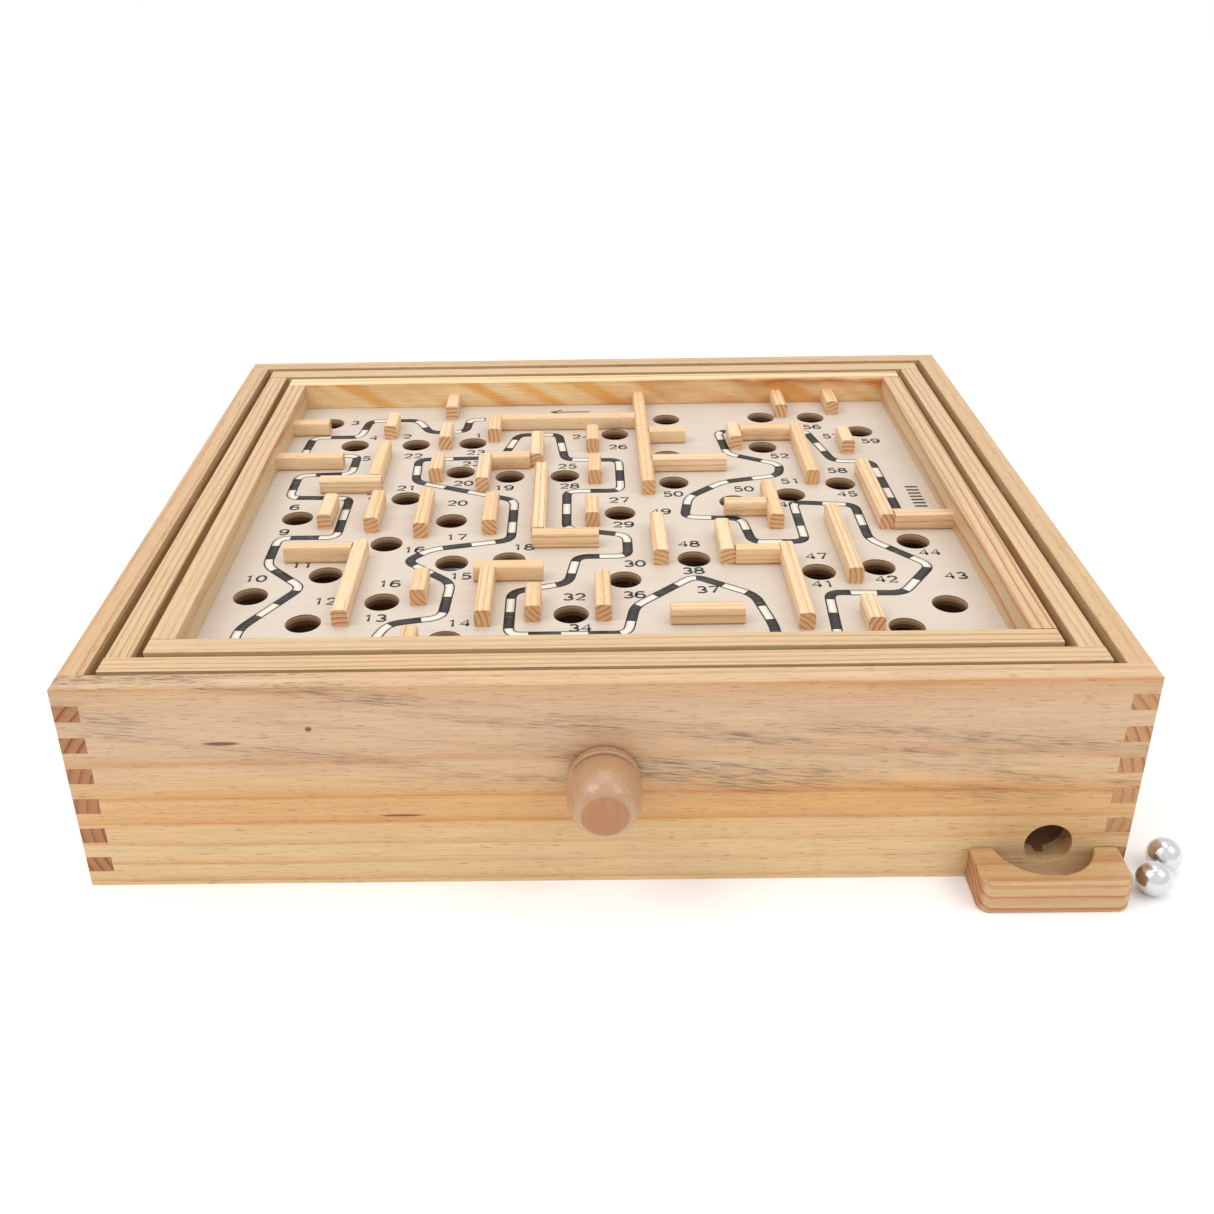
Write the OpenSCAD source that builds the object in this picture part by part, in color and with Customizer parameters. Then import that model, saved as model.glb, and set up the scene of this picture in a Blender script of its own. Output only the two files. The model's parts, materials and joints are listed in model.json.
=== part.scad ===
// Tilt maze game. A finger-jointed pine box holds two nested frames: the outer frame rocks
// front to back, and the inner frame, with the maze board in it, rocks left to right.
// Two knobs turn steel shafts under the board, and a cord wound on each shaft tilts its frame.
// A ball that drops through a hole rolls down the sloping floor and out into the tray.
// Millimetres, +Z up, +Y to the back. The origin is on the surface that the game stands on,
// at the middle of the space that it takes up with its knobs.

/* [Box] */
// Width of the box, left to right
box_w = 330; // [326:1:340]
// Depth of the box, front to back
box_d = 286; // [284:1:296]
// Height of the box
box_h = 75; // [72:1:84]
// Thickness of the walls
wall_t = 8; // [7:0.5:8]
// Number of fingers and gaps up each corner
fingers = 13; // [9:2:15]

/* [Frames] */
// Gap between the box and the outer frame, left and right
side_gap = 3; // [2.5:0.1:4]
// Gap between the box and the outer frame, front and back
end_gap = 2.5; // [2:0.1:4]
// Gap between the outer frame and the inner frame
frame_gap = 3; // [2.5:0.1:4]
// Thickness of the frames' rails
rail_t = 8; // [7.5:0.5:9]
// Height of the outer frame's rails
outer_rail_h = 14.5; // [13:0.5:15]
// Height of the inner frame's rails
inner_rail_h = 18; // [16:0.5:18]
// How far the frames' tops lie below the top of the box
frame_drop = 0.5; // [0:0.1:1]
// How far the pivots lie below the top of the box
pivot_drop = 9; // [8:0.5:10]

/* [Maze] */
// Thickness of the maze board
board_t = 4; // [3:0.5:4]
// How far the board lies below the tops of the inner frame's rails
board_drop = 12; // [10:0.5:12]
// Depth of the groove that holds the board
board_groove = 3; // [2:0.5:4]
// Diameter of the holes in the board
hole_d = 12.2; // [11.5:0.1:12.4]
// Width of the maze bars
bar_w = 5.5; // [5:0.1:5.5]
// Height of the maze bars
bar_h = 6.5; // [5:0.5:8]
// Diameter of the balls
ball_d = 11; // [10:0.5:11.2]

/* [Controls] */
// Diameter of the two shafts
shaft_d = 5; // [4:0.5:5]
// Height of the front knob's shaft
front_shaft_z = 42; // [41.5:0.5:42.5]
// Height of the side knob's shaft
side_shaft_z = 35.5; // [34:0.5:36]
// Greatest diameter of the knobs
knob_d = 23.2; // [20:0.2:26]
// Length of the knobs
knob_len = 20; // [18:0.5:24]
// Diameter of the knobs' flat ends
knob_end_d = 13.6; // [10:0.2:15]
// Diameter of the control cords
cord_d = 0.9; // [0.6:0.1:0.9]
// Whole turns of cord on each shaft
cord_turns = 3; // [2:1:4]

/* [Ball return] */
// Diameter of the hole that the balls come out of
exit_d = 15; // [13:0.5:16]
// Height of that hole's centre
exit_z = 13; // [13:0.5:15]
// Distance from the hole's centre to the outside of the right wall
exit_inset = 25; // [24:0.5:30]
// Slope of the floor, both to the front and to the right, in degrees
floor_slope = 1.7; // [1:0.1:1.8]
// Thickness of the floor panel
floor_t = 3; // [2:0.5:3]
// Width of the catch tray
tray_w = 47; // [45:1:50]
// Depth of the catch tray
tray_d = 17; // [17:0.5:20]
// Height of the catch tray
tray_h = 12; // [8:0.5:14]

/* [Hidden] */
$fn = 48;

// Box
inner_w = box_w - 2 * wall_t;
inner_d = box_d - 2 * wall_t;
finger_h = box_h / fingers;
floor_groove = 3;
knob_gap = 0.4;
knob_reach = knob_gap + knob_len;

// Frames: outside sizes, tops and pivots
frame_top = box_h - frame_drop;
outer_w = inner_w - 2 * side_gap;
outer_d = inner_d - 2 * end_gap;
middle_w = outer_w - 2 * rail_t - 2 * frame_gap;
middle_d = outer_d - 2 * rail_t - 2 * frame_gap;
field_w = middle_w - 2 * rail_t;
field_d = middle_d - 2 * rail_t;
pivot_z = box_h - pivot_drop;
pin_d = 3;
running_gap = 0.05;
pin_bed = 6;
washer_d = 7;
washer_side_gap = 0.3;

// Maze board
board_top = frame_top - board_drop;
board_z = board_top - board_t;
bar_chamfer = 0.6;

// Shafts, collars and the bores that they run in
shaft_bore_d = shaft_d + 2 * running_gap;
shaft_bed = 5;
knob_bed = 12;
collar_d = 9;
collar_t = 3;

// Cords: their centre line winds on the shaft and leaves it at the top for both sides
cord_r = cord_d / 2;
winding_r = shaft_d / 2 + cord_r + 0.06;
turn_steps = 20;
turn_pitch = 1;
front_cord_y = -12;
side_cord_x = 14;
eye_z = 52;
eye_r = 2.3;
eye_wire_r = 0.6;
eye_hold = 6;
spring_r = 2;
spring_wire_r = 0.35;
spring_turns = 12;
spring_len = 17;
spring_inset = 9;

// Ball return
exit_x = box_w / 2 - exit_inset;
floor_low = exit_z - exit_d / 2 - 0.3;
tray_x = box_w / 2 - 3 - tray_w / 2;
tray_scoop_r = 16;
tray_corner_r = 4;
guide_leg = 9;
guide_h = 14;
floor_span = 400;

// Holes in the board, [x, y] from its middle, row by row from the back
HOLES = [
    [-121, 94], [33, 94], [76.5, 95], [99, 94],
    [-106, 68], [-79, 68], [-54, 69], [9, 77], [118, 77], [73, 60.5], [31, 52],
    [-57, 38], [-36, 33], [-13, 33], [32, 25], [100, 22],
    [-77, 13], [78, 12], [55, 6], [-118, -4], [-57, -8], [9, -3],
    [-80, -27], [118, -30], [-33, -41], [-54, -43], [35, -42],
    [-99, -51], [101, -50], [79, -53], [9, -57], [-123, -66], [-76, -71], [120, -77],
    [-10, -81], [-101, -85], [102, -92], [-52, -97],
    [-25, -106], [18, -104], [45, -104], [124, -104]
];

// Maze bars by length: [x, y, across], the middle of each, with across = 1 for left to right
BARS_16 = [
    [-91, 83, 0], [-65.5, field_d / 2 - 8, 0], [-65.5, 70, 0], [-66.5, 36, 0], [-44.5, 78, 0],
    [-63, -66, 0], [-1, 65.5, 0], [-0.5, 32.5, 0], [-2, -7, 0], [-23, -78, 0],
    [109.5, field_d / 2 - 8, 0], [61, 66.5, 0], [108.5, 60, 0], [91, -88, 0],
    [-63, 8 - field_d / 2, 0], [8 - field_w / 2, 82, 1], [-35.75, 43, 1], [31.75, 68.5, 1],
    [57.75, -44.5, 1], [57.75, -5, 1]
];
BARS_19 = [[-105.5, -4.5, 0], [85.5, field_d / 2 - 9.5, 0]];
BARS_22 = [[74.75, 70, 1], [field_w / 2 - 11, -18, 1]];
BARS_25 = [
    [-87, -5, 0], [-46.5, 31, 0], [-41.5, -8, 0], [-25, 54.5, 0], [1, -73.5, 0], [47, -34, 0],
    [-100.25, 20.5, 1], [-103.25, -39.25, 1], [-32.5, -55, 1], [-12.25, -29.75, 1], [36, -86.5, 1]
];
BARS_28 = [[14 - field_w / 2, 44.5, 1]];
BARS_31 = [
    [-67.5, -7, 0], [-39.75, -73.25, 0], [22.7, -31, 0], [68.5, -3, 0], [39.25, 38, 1]
];
BARS_35 = [[-91, 40.75, 0]];
BARS_52 = [
    [-88, -61.5, 0], [68.5, -67, 0], [88.5, 47.5, 0], [110.25, 6, 0], [90.5, -36, 0]
];
BARS_60 = [[-11.75, 85.5, 1], [-22.5, 3, 0]];
BARS_100 = [[21, field_d / 2 - 50, 0]];

// Where the two balls lie, on the table by the front right corner of the box
maze_ball = [box_w / 2 + 6.5, -box_d / 2 - 8];
spare_ball = [box_w / 2 + 14, 3 - box_d / 2];

// ---- Shared shapes ----

// Moves the game from the middle of its box to the part's origin
module in_box() {
    translate([-knob_reach / 2, knob_reach / 2, 0]) children();
}

// A block from its low corner to its high corner
module block(low, high) {
    translate(low) cube(high - low);
}

// A cylinder that starts at a point and runs along +X, +Y or +Z
module rod(start, length, d, along = "z") {
    turn = along == "x" ? [0, 90, 0] : along == "y" ? [-90, 0, 0] : [0, 0, 0];
    translate(start) rotate(turn) cylinder(h = length, d = d);
}

// A flat ring, bored through, whose back face is at a point
module ring(start, thickness, outside_d, inside_d, along) {
    turn = along == "x" ? [0, 90, 0] : [-90, 0, 0];
    translate(start) rotate(turn) difference() {
        cylinder(h = thickness, d = outside_d);
        translate([0, 0, -1]) cylinder(h = thickness + 2, d = inside_d);
    }
}

// ---- Box ----

// The gaps between the fingers, cut out of a wall's end; first is 0 or 1
module finger_gaps(x, y, first) {
    for (i = [first:2:fingers - 1])
        block([x, y, i * finger_h], [x + wall_t, y + wall_t, (i + 1) * finger_h]);
}

// The space that the sloping floor takes up, plus as much below it as depth says
module floor_slab(depth) {
    translate([inner_w / 2, -inner_d / 2, floor_low]) rotate([floor_slope, floor_slope, 0])
        translate([-floor_span, -floor_span / 4, -depth])
            cube([1.25 * floor_span, 1.25 * floor_span, depth]);
}

// The floor panel's outline, its edges let into the walls' grooves
module floor_outline() {
    block(
        [-inner_w / 2 - floor_groove, -inner_d / 2 - floor_groove, 0],
        [inner_w / 2 + floor_groove, inner_d / 2 + floor_groove, box_h]
    );
}

module floor_piece() {
    intersection() {
        floor_slab(floor_t);
        floor_outline();
    }
}

// A front or back wall, with its fingers and the floor's groove
module long_wall(y) {
    difference() {
        block([-box_w / 2, y, 0], [box_w / 2, y + wall_t, box_h]);
        finger_gaps(-box_w / 2, y, 1);
        finger_gaps(box_w / 2 - wall_t, y, 1);
        floor_piece();
    }
}

// A left or right wall, whose fingers fill the gaps in the long walls
module short_wall(x) {
    difference() {
        block([x, -box_d / 2, 0], [x + wall_t, box_d / 2, box_h]);
        finger_gaps(x, -box_d / 2, 0);
        finger_gaps(x, box_d / 2 - wall_t, 0);
        floor_piece();
    }
}

module front_wall() {
    color("burlywood") in_box() difference() {
        long_wall(-box_d / 2);
        rod([0, -box_d / 2 - 1, front_shaft_z], wall_t + 2, shaft_bore_d, "y");
        rod([exit_x, -box_d / 2 - 1, exit_z], wall_t + 2, exit_d, "y");
    }
}

module back_wall() {
    color("burlywood") in_box() difference() {
        long_wall(box_d / 2 - wall_t);
        rod([0, inner_d / 2 - 1, front_shaft_z], shaft_bed + 1, shaft_bore_d, "y");
    }
}

module left_wall() {
    color("tan") in_box() difference() {
        short_wall(-box_w / 2);
        rod([-inner_w / 2 - shaft_bed, 0, side_shaft_z], shaft_bed + 1, shaft_bore_d, "x");
        rod([-inner_w / 2 - pin_bed, 0, pivot_z], pin_bed + 1, pin_d, "x");
    }
}

module right_wall() {
    color("tan") in_box() difference() {
        short_wall(box_w / 2 - wall_t);
        rod([inner_w / 2 - 1, 0, side_shaft_z], wall_t + 2, shaft_bore_d, "x");
        rod([inner_w / 2 - 1, 0, pivot_z], pin_bed + 1, pin_d, "x");
    }
}

module floor_panel() {
    color("wheat") in_box() floor_piece();
}

// The block in the low corner that steers a ball to the exit hole
module ball_guide() {
    color("tan") in_box() translate([inner_w / 2, -inner_d / 2, 0]) difference() {
        linear_extrude(floor_low + guide_h) polygon([[0, 0], [-guide_leg, 0], [0, guide_leg]]);
        translate([-inner_w / 2, inner_d / 2, 0]) floor_slab(3 * floor_t);
    }
}

// The tray: a rounded block with a scoop that holds the ball under the exit hole
module ball_tray() {
    front = -box_d / 2 - tray_d;
    r = tray_corner_r;
    color("burlywood") in_box() linear_extrude(tray_h) difference() {
        union() {
            translate([tray_x - tray_w / 2, front + r]) square([tray_w, tray_d - r]);
            translate([tray_x - tray_w / 2 + r, front]) square([tray_w - 2 * r, tray_d]);
            for (side = [-1, 1])
                translate([tray_x + side * (tray_w / 2 - r), front + r]) circle(r);
        }
        translate([exit_x - 1.5, -box_d / 2 + 3]) circle(tray_scoop_r);
    }
}

// ---- Frames ----

// A front or back rail of a frame; side is -1 in front and 1 at the back
module end_rail(w, d, h, side) {
    y = side * (d - rail_t) / 2;
    block([-w / 2, y - rail_t / 2, frame_top - h], [w / 2, y + rail_t / 2, frame_top]);
}

// A side rail of a frame, between its end rails; side is -1 at the left and 1 at the right
module side_rail(w, d, h, side) {
    x = side * (w - rail_t) / 2;
    block(
        [x - rail_t / 2, rail_t - d / 2, frame_top - h],
        [x + rail_t / 2, d / 2 - rail_t, frame_top]
    );
}

// The board with its edges in the grooves, without its holes
module board_blank() {
    block(
        [-field_w / 2 - board_groove, -field_d / 2 - board_groove, board_z],
        [field_w / 2 + board_groove, field_d / 2 + board_groove, board_top]
    );
}

module outer_end_rail(side) {
    inside = side * (outer_d / 2 - rail_t);
    difference() {
        end_rail(outer_w, outer_d, outer_rail_h, side);
        rod([0, inside - pin_bed, pivot_z], 2 * pin_bed, pin_d, "y");
        eye_shank(side_cord_x, side * (outer_d - rail_t) / 2, outer_rail_h);
    }
}

module outer_front_rail() {
    color("peru") in_box() outer_end_rail(-1);
}

module outer_back_rail() {
    color("peru") in_box() outer_end_rail(1);
}

module outer_side_rail(side) {
    difference() {
        side_rail(outer_w, outer_d, outer_rail_h, side);
        rod([side * (outer_w - rail_t) / 2 - rail_t, 0, pivot_z], 2 * rail_t,
            pin_d + 2 * running_gap, "x");
    }
}

module outer_left_rail() {
    color("peru") in_box() outer_side_rail(-1);
}

module outer_right_rail() {
    color("peru") in_box() outer_side_rail(1);
}

module inner_end_rail(side) {
    outside = side * middle_d / 2;
    difference() {
        end_rail(middle_w, middle_d, inner_rail_h, side);
        board_blank();
        rod([0, outside - pin_bed, pivot_z], 2 * pin_bed, pin_d + 2 * running_gap, "y");
    }
}

module inner_front_rail() {
    color("sandybrown") in_box() inner_end_rail(-1);
}

module inner_back_rail() {
    color("sandybrown") in_box() inner_end_rail(1);
}

// The cord runs to the left eye from one end of its winding, and to the right eye from the other
function front_eye(side) =
    [side * (middle_w - rail_t) / 2, front_cord_y + side * cord_turns * turn_pitch / 2];
function side_eye(side) =
    [side_cord_x + side * cord_turns * turn_pitch / 2, side * (outer_d - rail_t) / 2];

module inner_side_rail(side) {
    difference() {
        side_rail(middle_w, middle_d, inner_rail_h, side);
        board_blank();
        eye_shank(front_eye(side)[0], front_eye(side)[1], inner_rail_h);
    }
}

module inner_left_rail() {
    color("sandybrown") in_box() inner_side_rail(-1);
}

module inner_right_rail() {
    color("sandybrown") in_box() inner_side_rail(1);
}

module outer_pivot_pins() {
    length = pin_bed + side_gap + rail_t - 1;
    color("silver") in_box() for (side = [-1, 1])
        rod([side * (inner_w / 2 + pin_bed) - (side + 1) / 2 * length, 0, pivot_z],
            length, pin_d, "x");
}

module inner_pivot_pins() {
    length = 2 * pin_bed + frame_gap - 0.5;
    start = outer_d / 2 - rail_t + pin_bed;
    color("silver") in_box() for (side = [-1, 1])
        rod([0, side * start - (side + 1) / 2 * length, pivot_z], length, pin_d, "y");
}

module outer_pivot_washers() {
    color("white") in_box() for (side = [-1, 1])
        ring([side * (inner_w - side_gap) / 2 - side_gap / 2 + washer_side_gap, 0, pivot_z],
            side_gap - 2 * washer_side_gap, washer_d, pin_d, "x");
}

module inner_pivot_washers() {
    middle = outer_d / 2 - rail_t - frame_gap / 2;
    color("white") in_box() for (side = [-1, 1])
        ring([0, side * middle - frame_gap / 2 + washer_side_gap, pivot_z],
            frame_gap - 2 * washer_side_gap, washer_d, pin_d, "y");
}

// ---- Maze ----

module maze_board() {
    color("cornsilk") in_box() difference() {
        board_blank();
        for (hole = HOLES)
            rod([hole[0], hole[1], board_z - 1], board_t + 2, hole_d);
    }
}

// Bars of one length: a square strip with its top edges eased, standing on the board
module bars(list, length) {
    c = bar_chamfer;
    color("navajowhite") in_box() for (bar = list)
        translate([bar[0], bar[1], board_top]) rotate([90, 0, bar[2] * 90])
            linear_extrude(length, center = true) polygon([
                [-bar_w / 2, 0], [bar_w / 2, 0], [bar_w / 2, bar_h - c], [bar_w / 2 - c, bar_h],
                [c - bar_w / 2, bar_h], [-bar_w / 2, bar_h - c]
            ]);
}

module maze_bars_16() { bars(BARS_16, 16); }
module maze_bars_19() { bars(BARS_19, 19); }
module maze_bars_22() { bars(BARS_22, 22); }
module maze_bars_25() { bars(BARS_25, 25); }
module maze_bars_28() { bars(BARS_28, 28); }
module maze_bars_31() { bars(BARS_31, 31); }
module maze_bars_35() { bars(BARS_35, 35); }
module maze_bars_52() { bars(BARS_52, 52); }
module maze_bars_60() { bars(BARS_60, 60); }
module maze_bars_100() { bars(BARS_100, 100); }

module ball(place) {
    color("gainsboro") in_box()
        translate([place[0], place[1], ball_d / 2 + 0.05]) sphere(d = ball_d);
}

module maze_ball() { ball(maze_ball); }
module spare_ball() { ball(spare_ball); }

// ---- Shafts and knobs ----

// Half of the knob's outline, [radius, distance from the wall]: a collar, then a rounded body
function knob_outline(steps = 10) =
    let (r = knob_d / 2, seam = 3.4, belly = 9)
    concat(
        [[0, 0], [r - 0.9, 0], [r - 0.5, 0.5], [r - 0.5, seam - 0.6], [r - 1.5, seam]],
        [for (i = [0:steps / 2]) let (a = 90 - 90 * i / (steps / 2))
            [r - 1 + cos(a), belly - (belly - seam - 0.4) * sin(a)]],
        [for (i = [1:steps]) let (a = 90 * i / steps)
            [knob_end_d / 2 + (r - knob_end_d / 2) * cos(a), belly + (knob_len - belly) * sin(a)]],
        [[0, knob_len]]
    );

// A knob that stands out along +Z, bored for its shaft
module knob() {
    difference() {
        rotate_extrude() polygon(knob_outline());
        translate([0, 0, -1]) cylinder(h = knob_bed + 1, d = shaft_d);
    }
}

module front_knob() {
    color("darkgoldenrod") in_box()
        translate([0, -box_d / 2 - knob_gap, front_shaft_z]) rotate([90, 0, 0]) knob();
}

module side_knob() {
    color("darkgoldenrod") in_box()
        translate([box_w / 2 + knob_gap, 0, side_shaft_z]) rotate([0, 90, 0]) knob();
}

module front_shaft() {
    start = -box_d / 2 - knob_gap - knob_bed;
    color("silver") in_box()
        rod([0, start, front_shaft_z], inner_d / 2 + shaft_bed - 0.3 - start, shaft_d, "y");
}

module side_shaft() {
    start = -inner_w / 2 - shaft_bed + 0.3;
    color("silver") in_box()
        rod([start, 0, side_shaft_z], box_w / 2 + knob_gap + knob_bed - start, shaft_d, "x");
}

module front_shaft_collar() {
    color("white") in_box()
        ring([0, -inner_d / 2 + 0.4, front_shaft_z], collar_t, collar_d, shaft_d, "y");
}

module side_shaft_collar() {
    color("white") in_box()
        ring([inner_w / 2 - 0.4 - collar_t, 0, side_shaft_z], collar_t, collar_d, shaft_d, "x");
}

// ---- Screw eyes, cords and springs ----

// The straight shank of a screw eye, driven up into a rail of a given height
module eye_shank(x, y, rail_h) {
    top = frame_top - rail_h + eye_hold;
    rod([x, y, eye_z + eye_r], top - eye_z - eye_r, 2 * eye_wire_r);
}

// A screw eye: a ring under a rail and its shank; turn is the ring's turn about +Z
module screw_eye(x, y, rail_h, turn) {
    eye_shank(x, y, rail_h);
    translate([x, y, eye_z]) rotate([90, 0, turn])
        rotate_extrude() translate([eye_r, 0]) circle(eye_wire_r, $fn = 16);
}

module inner_frame_eyes() {
    color("silver") in_box() for (side = [-1, 1])
        screw_eye(front_eye(side)[0], front_eye(side)[1], inner_rail_h, 90);
}

module outer_frame_eyes() {
    color("silver") in_box() for (side = [-1, 1])
        screw_eye(side_eye(side)[0], side_eye(side)[1], outer_rail_h, 0);
}

function unit(v) = v / norm(v);
function heading(path, i) = unit(path[min(i + 1, len(path) - 1)] - path[max(i - 1, 0)]);

// The side direction at each point of a path, carried along it with no twist
function sides(path, i, last) =
    i == len(path) ? []
    : let (t = heading(path, i), s = unit(last - (last * t) * t))
        concat([s], sides(path, i + 1, s));

// A round strand along a path, with its own radius at each point
module strand(path, radii, corners, first_side) {
    side = sides(path, 0, first_side);
    count = len(path);
    points = [
        for (i = [0:count - 1], k = [0:corners - 1])
            let (a = 360 * k / corners, up = cross(heading(path, i), side[i]))
            path[i] + radii[i] * (cos(a) * side[i] + sin(a) * up)
    ];
    walls = [
        for (i = [0:count - 2], k = [0:corners - 1], half = [0, 1])
            let (n = (k + 1) % corners, a = i * corners, b = a + corners)
            half == 0 ? [a + k, b + k, b + n] : [a + k, b + n, a + n]
    ];
    ends = [
        [for (k = [0:corners - 1]) k],
        [for (k = [corners - 1:-1:0]) (count - 1) * corners + k]
    ];
    polyhedron(points, concat(walls, ends));
}

// A cord, drawn along +X with its shaft along +Y: knotted behind the left eye, wound on the shaft
// and knotted again where the spring takes over. reach is from the shaft to the eyes.
module cord(shaft_z, reach) {
    half = cord_turns * turn_pitch / 2;
    last = cord_turns * turn_steps;
    top = shaft_z + winding_r;
    knot_x = reach - spring_inset - spring_len - 2;
    rise = (eye_z - top) / reach;
    path = concat(
        [for (x = [-3.2, -2.6, -1.9, -1.2, -0.6]) [x - reach, -half, eye_z]],
        [for (i = [0:5]) [-reach + i * reach / 6, -half, eye_z - i * (eye_z - top) / 6]],
        [for (i = [0:last]) let (a = 360 * i / turn_steps)
            [winding_r * sin(a), -half + turn_pitch * i / turn_steps, shaft_z + winding_r * cos(a)]],
        [for (i = [1:4]) [i * knot_x / 4, half, top + i * knot_x / 4 * rise]],
        [for (x = [0.5, 1, 1.5]) [knot_x + x, half, top + (knot_x + x) * rise]]
    );
    knot = [0.4, 1.4, 1.7, 1.4, cord_r];
    radii = [for (i = [0:len(path) - 1])
        i < 5 ? knot[i] : i > len(path) - 4 ? [1, 1, 0.5][i - len(path) + 3] : cord_r];
    strand(path, radii, 8, [0, 1, 0]);
}

// The tension spring between a cord's knot and the right eye, with a hook through the eye
module cord_spring(shaft_z, reach) {
    half = cord_turns * turn_pitch / 2;
    top = shaft_z + winding_r;
    rise = (eye_z - top) / reach;
    steps = 10;
    last = spring_turns * steps;
    start = reach - spring_inset - spring_len;
    path = concat(
        [for (i = [0:last]) let (x = start + spring_len * i / last, a = 360 * i / steps)
            [x, half + spring_r * cos(a), top + x * rise + spring_r * sin(a)]],
        [for (i = [1:4]) let (x = start + spring_len + i)
            [x, half + spring_r * (1 - i / 4), top + x * rise]],
        [for (x = [-2.5, 0, 1.8]) [reach + x, half, eye_z]],
        [for (a = [30:30:90]) [reach + 1.8 + sin(a), half, eye_z - 1 + cos(a)]],
        [[reach + 2.8, half, eye_z - 2.4]]
    );
    strand(path, [for (p = path) spring_wire_r], 6, [1, 0, 0]);
}

// Turns what is drawn along +X so that it runs along +Y, for the side shaft's cord
module along_y() {
    rotate([0, 0, 90]) mirror([0, 1, 0]) children();
}

module front_cord() {
    color("white") in_box() translate([0, front_cord_y, 0]) cord(front_shaft_z, front_eye(1)[0]);
}

module front_cord_spring() {
    color("gray") in_box() translate([0, front_cord_y, 0])
        cord_spring(front_shaft_z, front_eye(1)[0]);
}

module side_cord() {
    color("white") in_box() translate([side_cord_x, 0, 0])
        along_y() cord(side_shaft_z, side_eye(1)[1]);
}

module side_cord_spring() {
    color("gray") in_box() translate([side_cord_x, 0, 0])
        along_y() cord_spring(side_shaft_z, side_eye(1)[1]);
}

front_wall();
back_wall();
left_wall();
right_wall();
floor_panel();
ball_guide();
ball_tray();
outer_front_rail();
outer_back_rail();
outer_left_rail();
outer_right_rail();
inner_front_rail();
inner_back_rail();
inner_left_rail();
inner_right_rail();
outer_pivot_pins();
outer_pivot_washers();
inner_pivot_pins();
inner_pivot_washers();
maze_board();
maze_bars_16();
maze_bars_19();
maze_bars_22();
maze_bars_25();
maze_bars_28();
maze_bars_31();
maze_bars_35();
maze_bars_52();
maze_bars_60();
maze_bars_100();
front_shaft();
front_knob();
front_shaft_collar();
side_shaft();
side_knob();
side_shaft_collar();
inner_frame_eyes();
outer_frame_eyes();
front_cord();
side_cord();
front_cord_spring();
side_cord_spring();
maze_ball();
spare_ball();
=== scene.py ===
# %% [markdown]
# # A wooden tilt maze game
# A pine box holds two nested frames that rock on steel pins. The inner frame carries a pale plywood
# board with holes, glued wooden bars and a printed track. Two turned knobs tilt the frames by cords.
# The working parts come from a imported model, so each shape here starts from the place of a real part.

import json
import math

import bmesh
import bpy
from mathutils import Matrix, Vector
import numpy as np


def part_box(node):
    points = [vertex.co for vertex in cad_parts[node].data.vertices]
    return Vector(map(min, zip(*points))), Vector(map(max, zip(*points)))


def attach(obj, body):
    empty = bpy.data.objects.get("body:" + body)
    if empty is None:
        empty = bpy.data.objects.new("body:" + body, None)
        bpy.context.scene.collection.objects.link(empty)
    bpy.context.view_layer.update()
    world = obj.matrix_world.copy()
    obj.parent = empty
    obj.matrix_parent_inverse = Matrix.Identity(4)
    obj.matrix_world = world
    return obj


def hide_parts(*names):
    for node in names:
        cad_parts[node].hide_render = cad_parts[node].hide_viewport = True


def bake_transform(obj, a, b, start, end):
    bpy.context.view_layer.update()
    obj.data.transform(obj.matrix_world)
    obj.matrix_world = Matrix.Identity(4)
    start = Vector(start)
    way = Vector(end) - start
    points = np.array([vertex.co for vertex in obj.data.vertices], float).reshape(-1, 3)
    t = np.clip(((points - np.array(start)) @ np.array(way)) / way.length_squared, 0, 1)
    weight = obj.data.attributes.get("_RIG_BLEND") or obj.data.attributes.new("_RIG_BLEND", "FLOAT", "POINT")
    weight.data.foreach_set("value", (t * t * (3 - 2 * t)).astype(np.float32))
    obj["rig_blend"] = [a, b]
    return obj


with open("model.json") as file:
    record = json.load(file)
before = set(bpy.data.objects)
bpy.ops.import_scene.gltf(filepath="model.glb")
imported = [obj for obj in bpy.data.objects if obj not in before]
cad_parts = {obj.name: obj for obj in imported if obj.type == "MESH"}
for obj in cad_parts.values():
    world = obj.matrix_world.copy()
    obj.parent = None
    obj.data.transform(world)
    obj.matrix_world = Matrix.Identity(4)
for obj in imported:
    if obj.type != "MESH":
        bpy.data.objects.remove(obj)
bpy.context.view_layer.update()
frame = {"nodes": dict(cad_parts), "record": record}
MM = 0.001

# %% [markdown]
# ## Where things are
# Every later step asks the model for its numbers. The maze board gives the middle of the game, and its
# top face is the height at which the bars stand and the track is printed.

# %% Measure the board and the box
board_low, board_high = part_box("maze_board")
MIDDLE_X = (board_low.x + board_high.x) / 2
MIDDLE_Y = (board_low.y + board_high.y) / 2
BOARD_TOP = board_high.z


def at(x, y, z=0.0):
    """A point given in millimetres from the middle of the game, as metres in the model's frame."""
    return Vector((MIDDLE_X + x * MM, MIDDLE_Y + y * MM, z * MM))


def middle_of(node):
    """The middle of a part."""
    low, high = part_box(node)
    return (low + high) / 2


print("board top at", round(BOARD_TOP / MM, 2), "mm")
print("middle at", round(MIDDLE_X / MM, 1), round(MIDDLE_Y / MM, 1), "mm")

# %% [markdown]
# ## The camera
# The game stands on a white table and is seen from in front and above, with a normal lens. A camera is
# turned by giving its right, up and forward directions, which say exactly where it looks.

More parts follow.
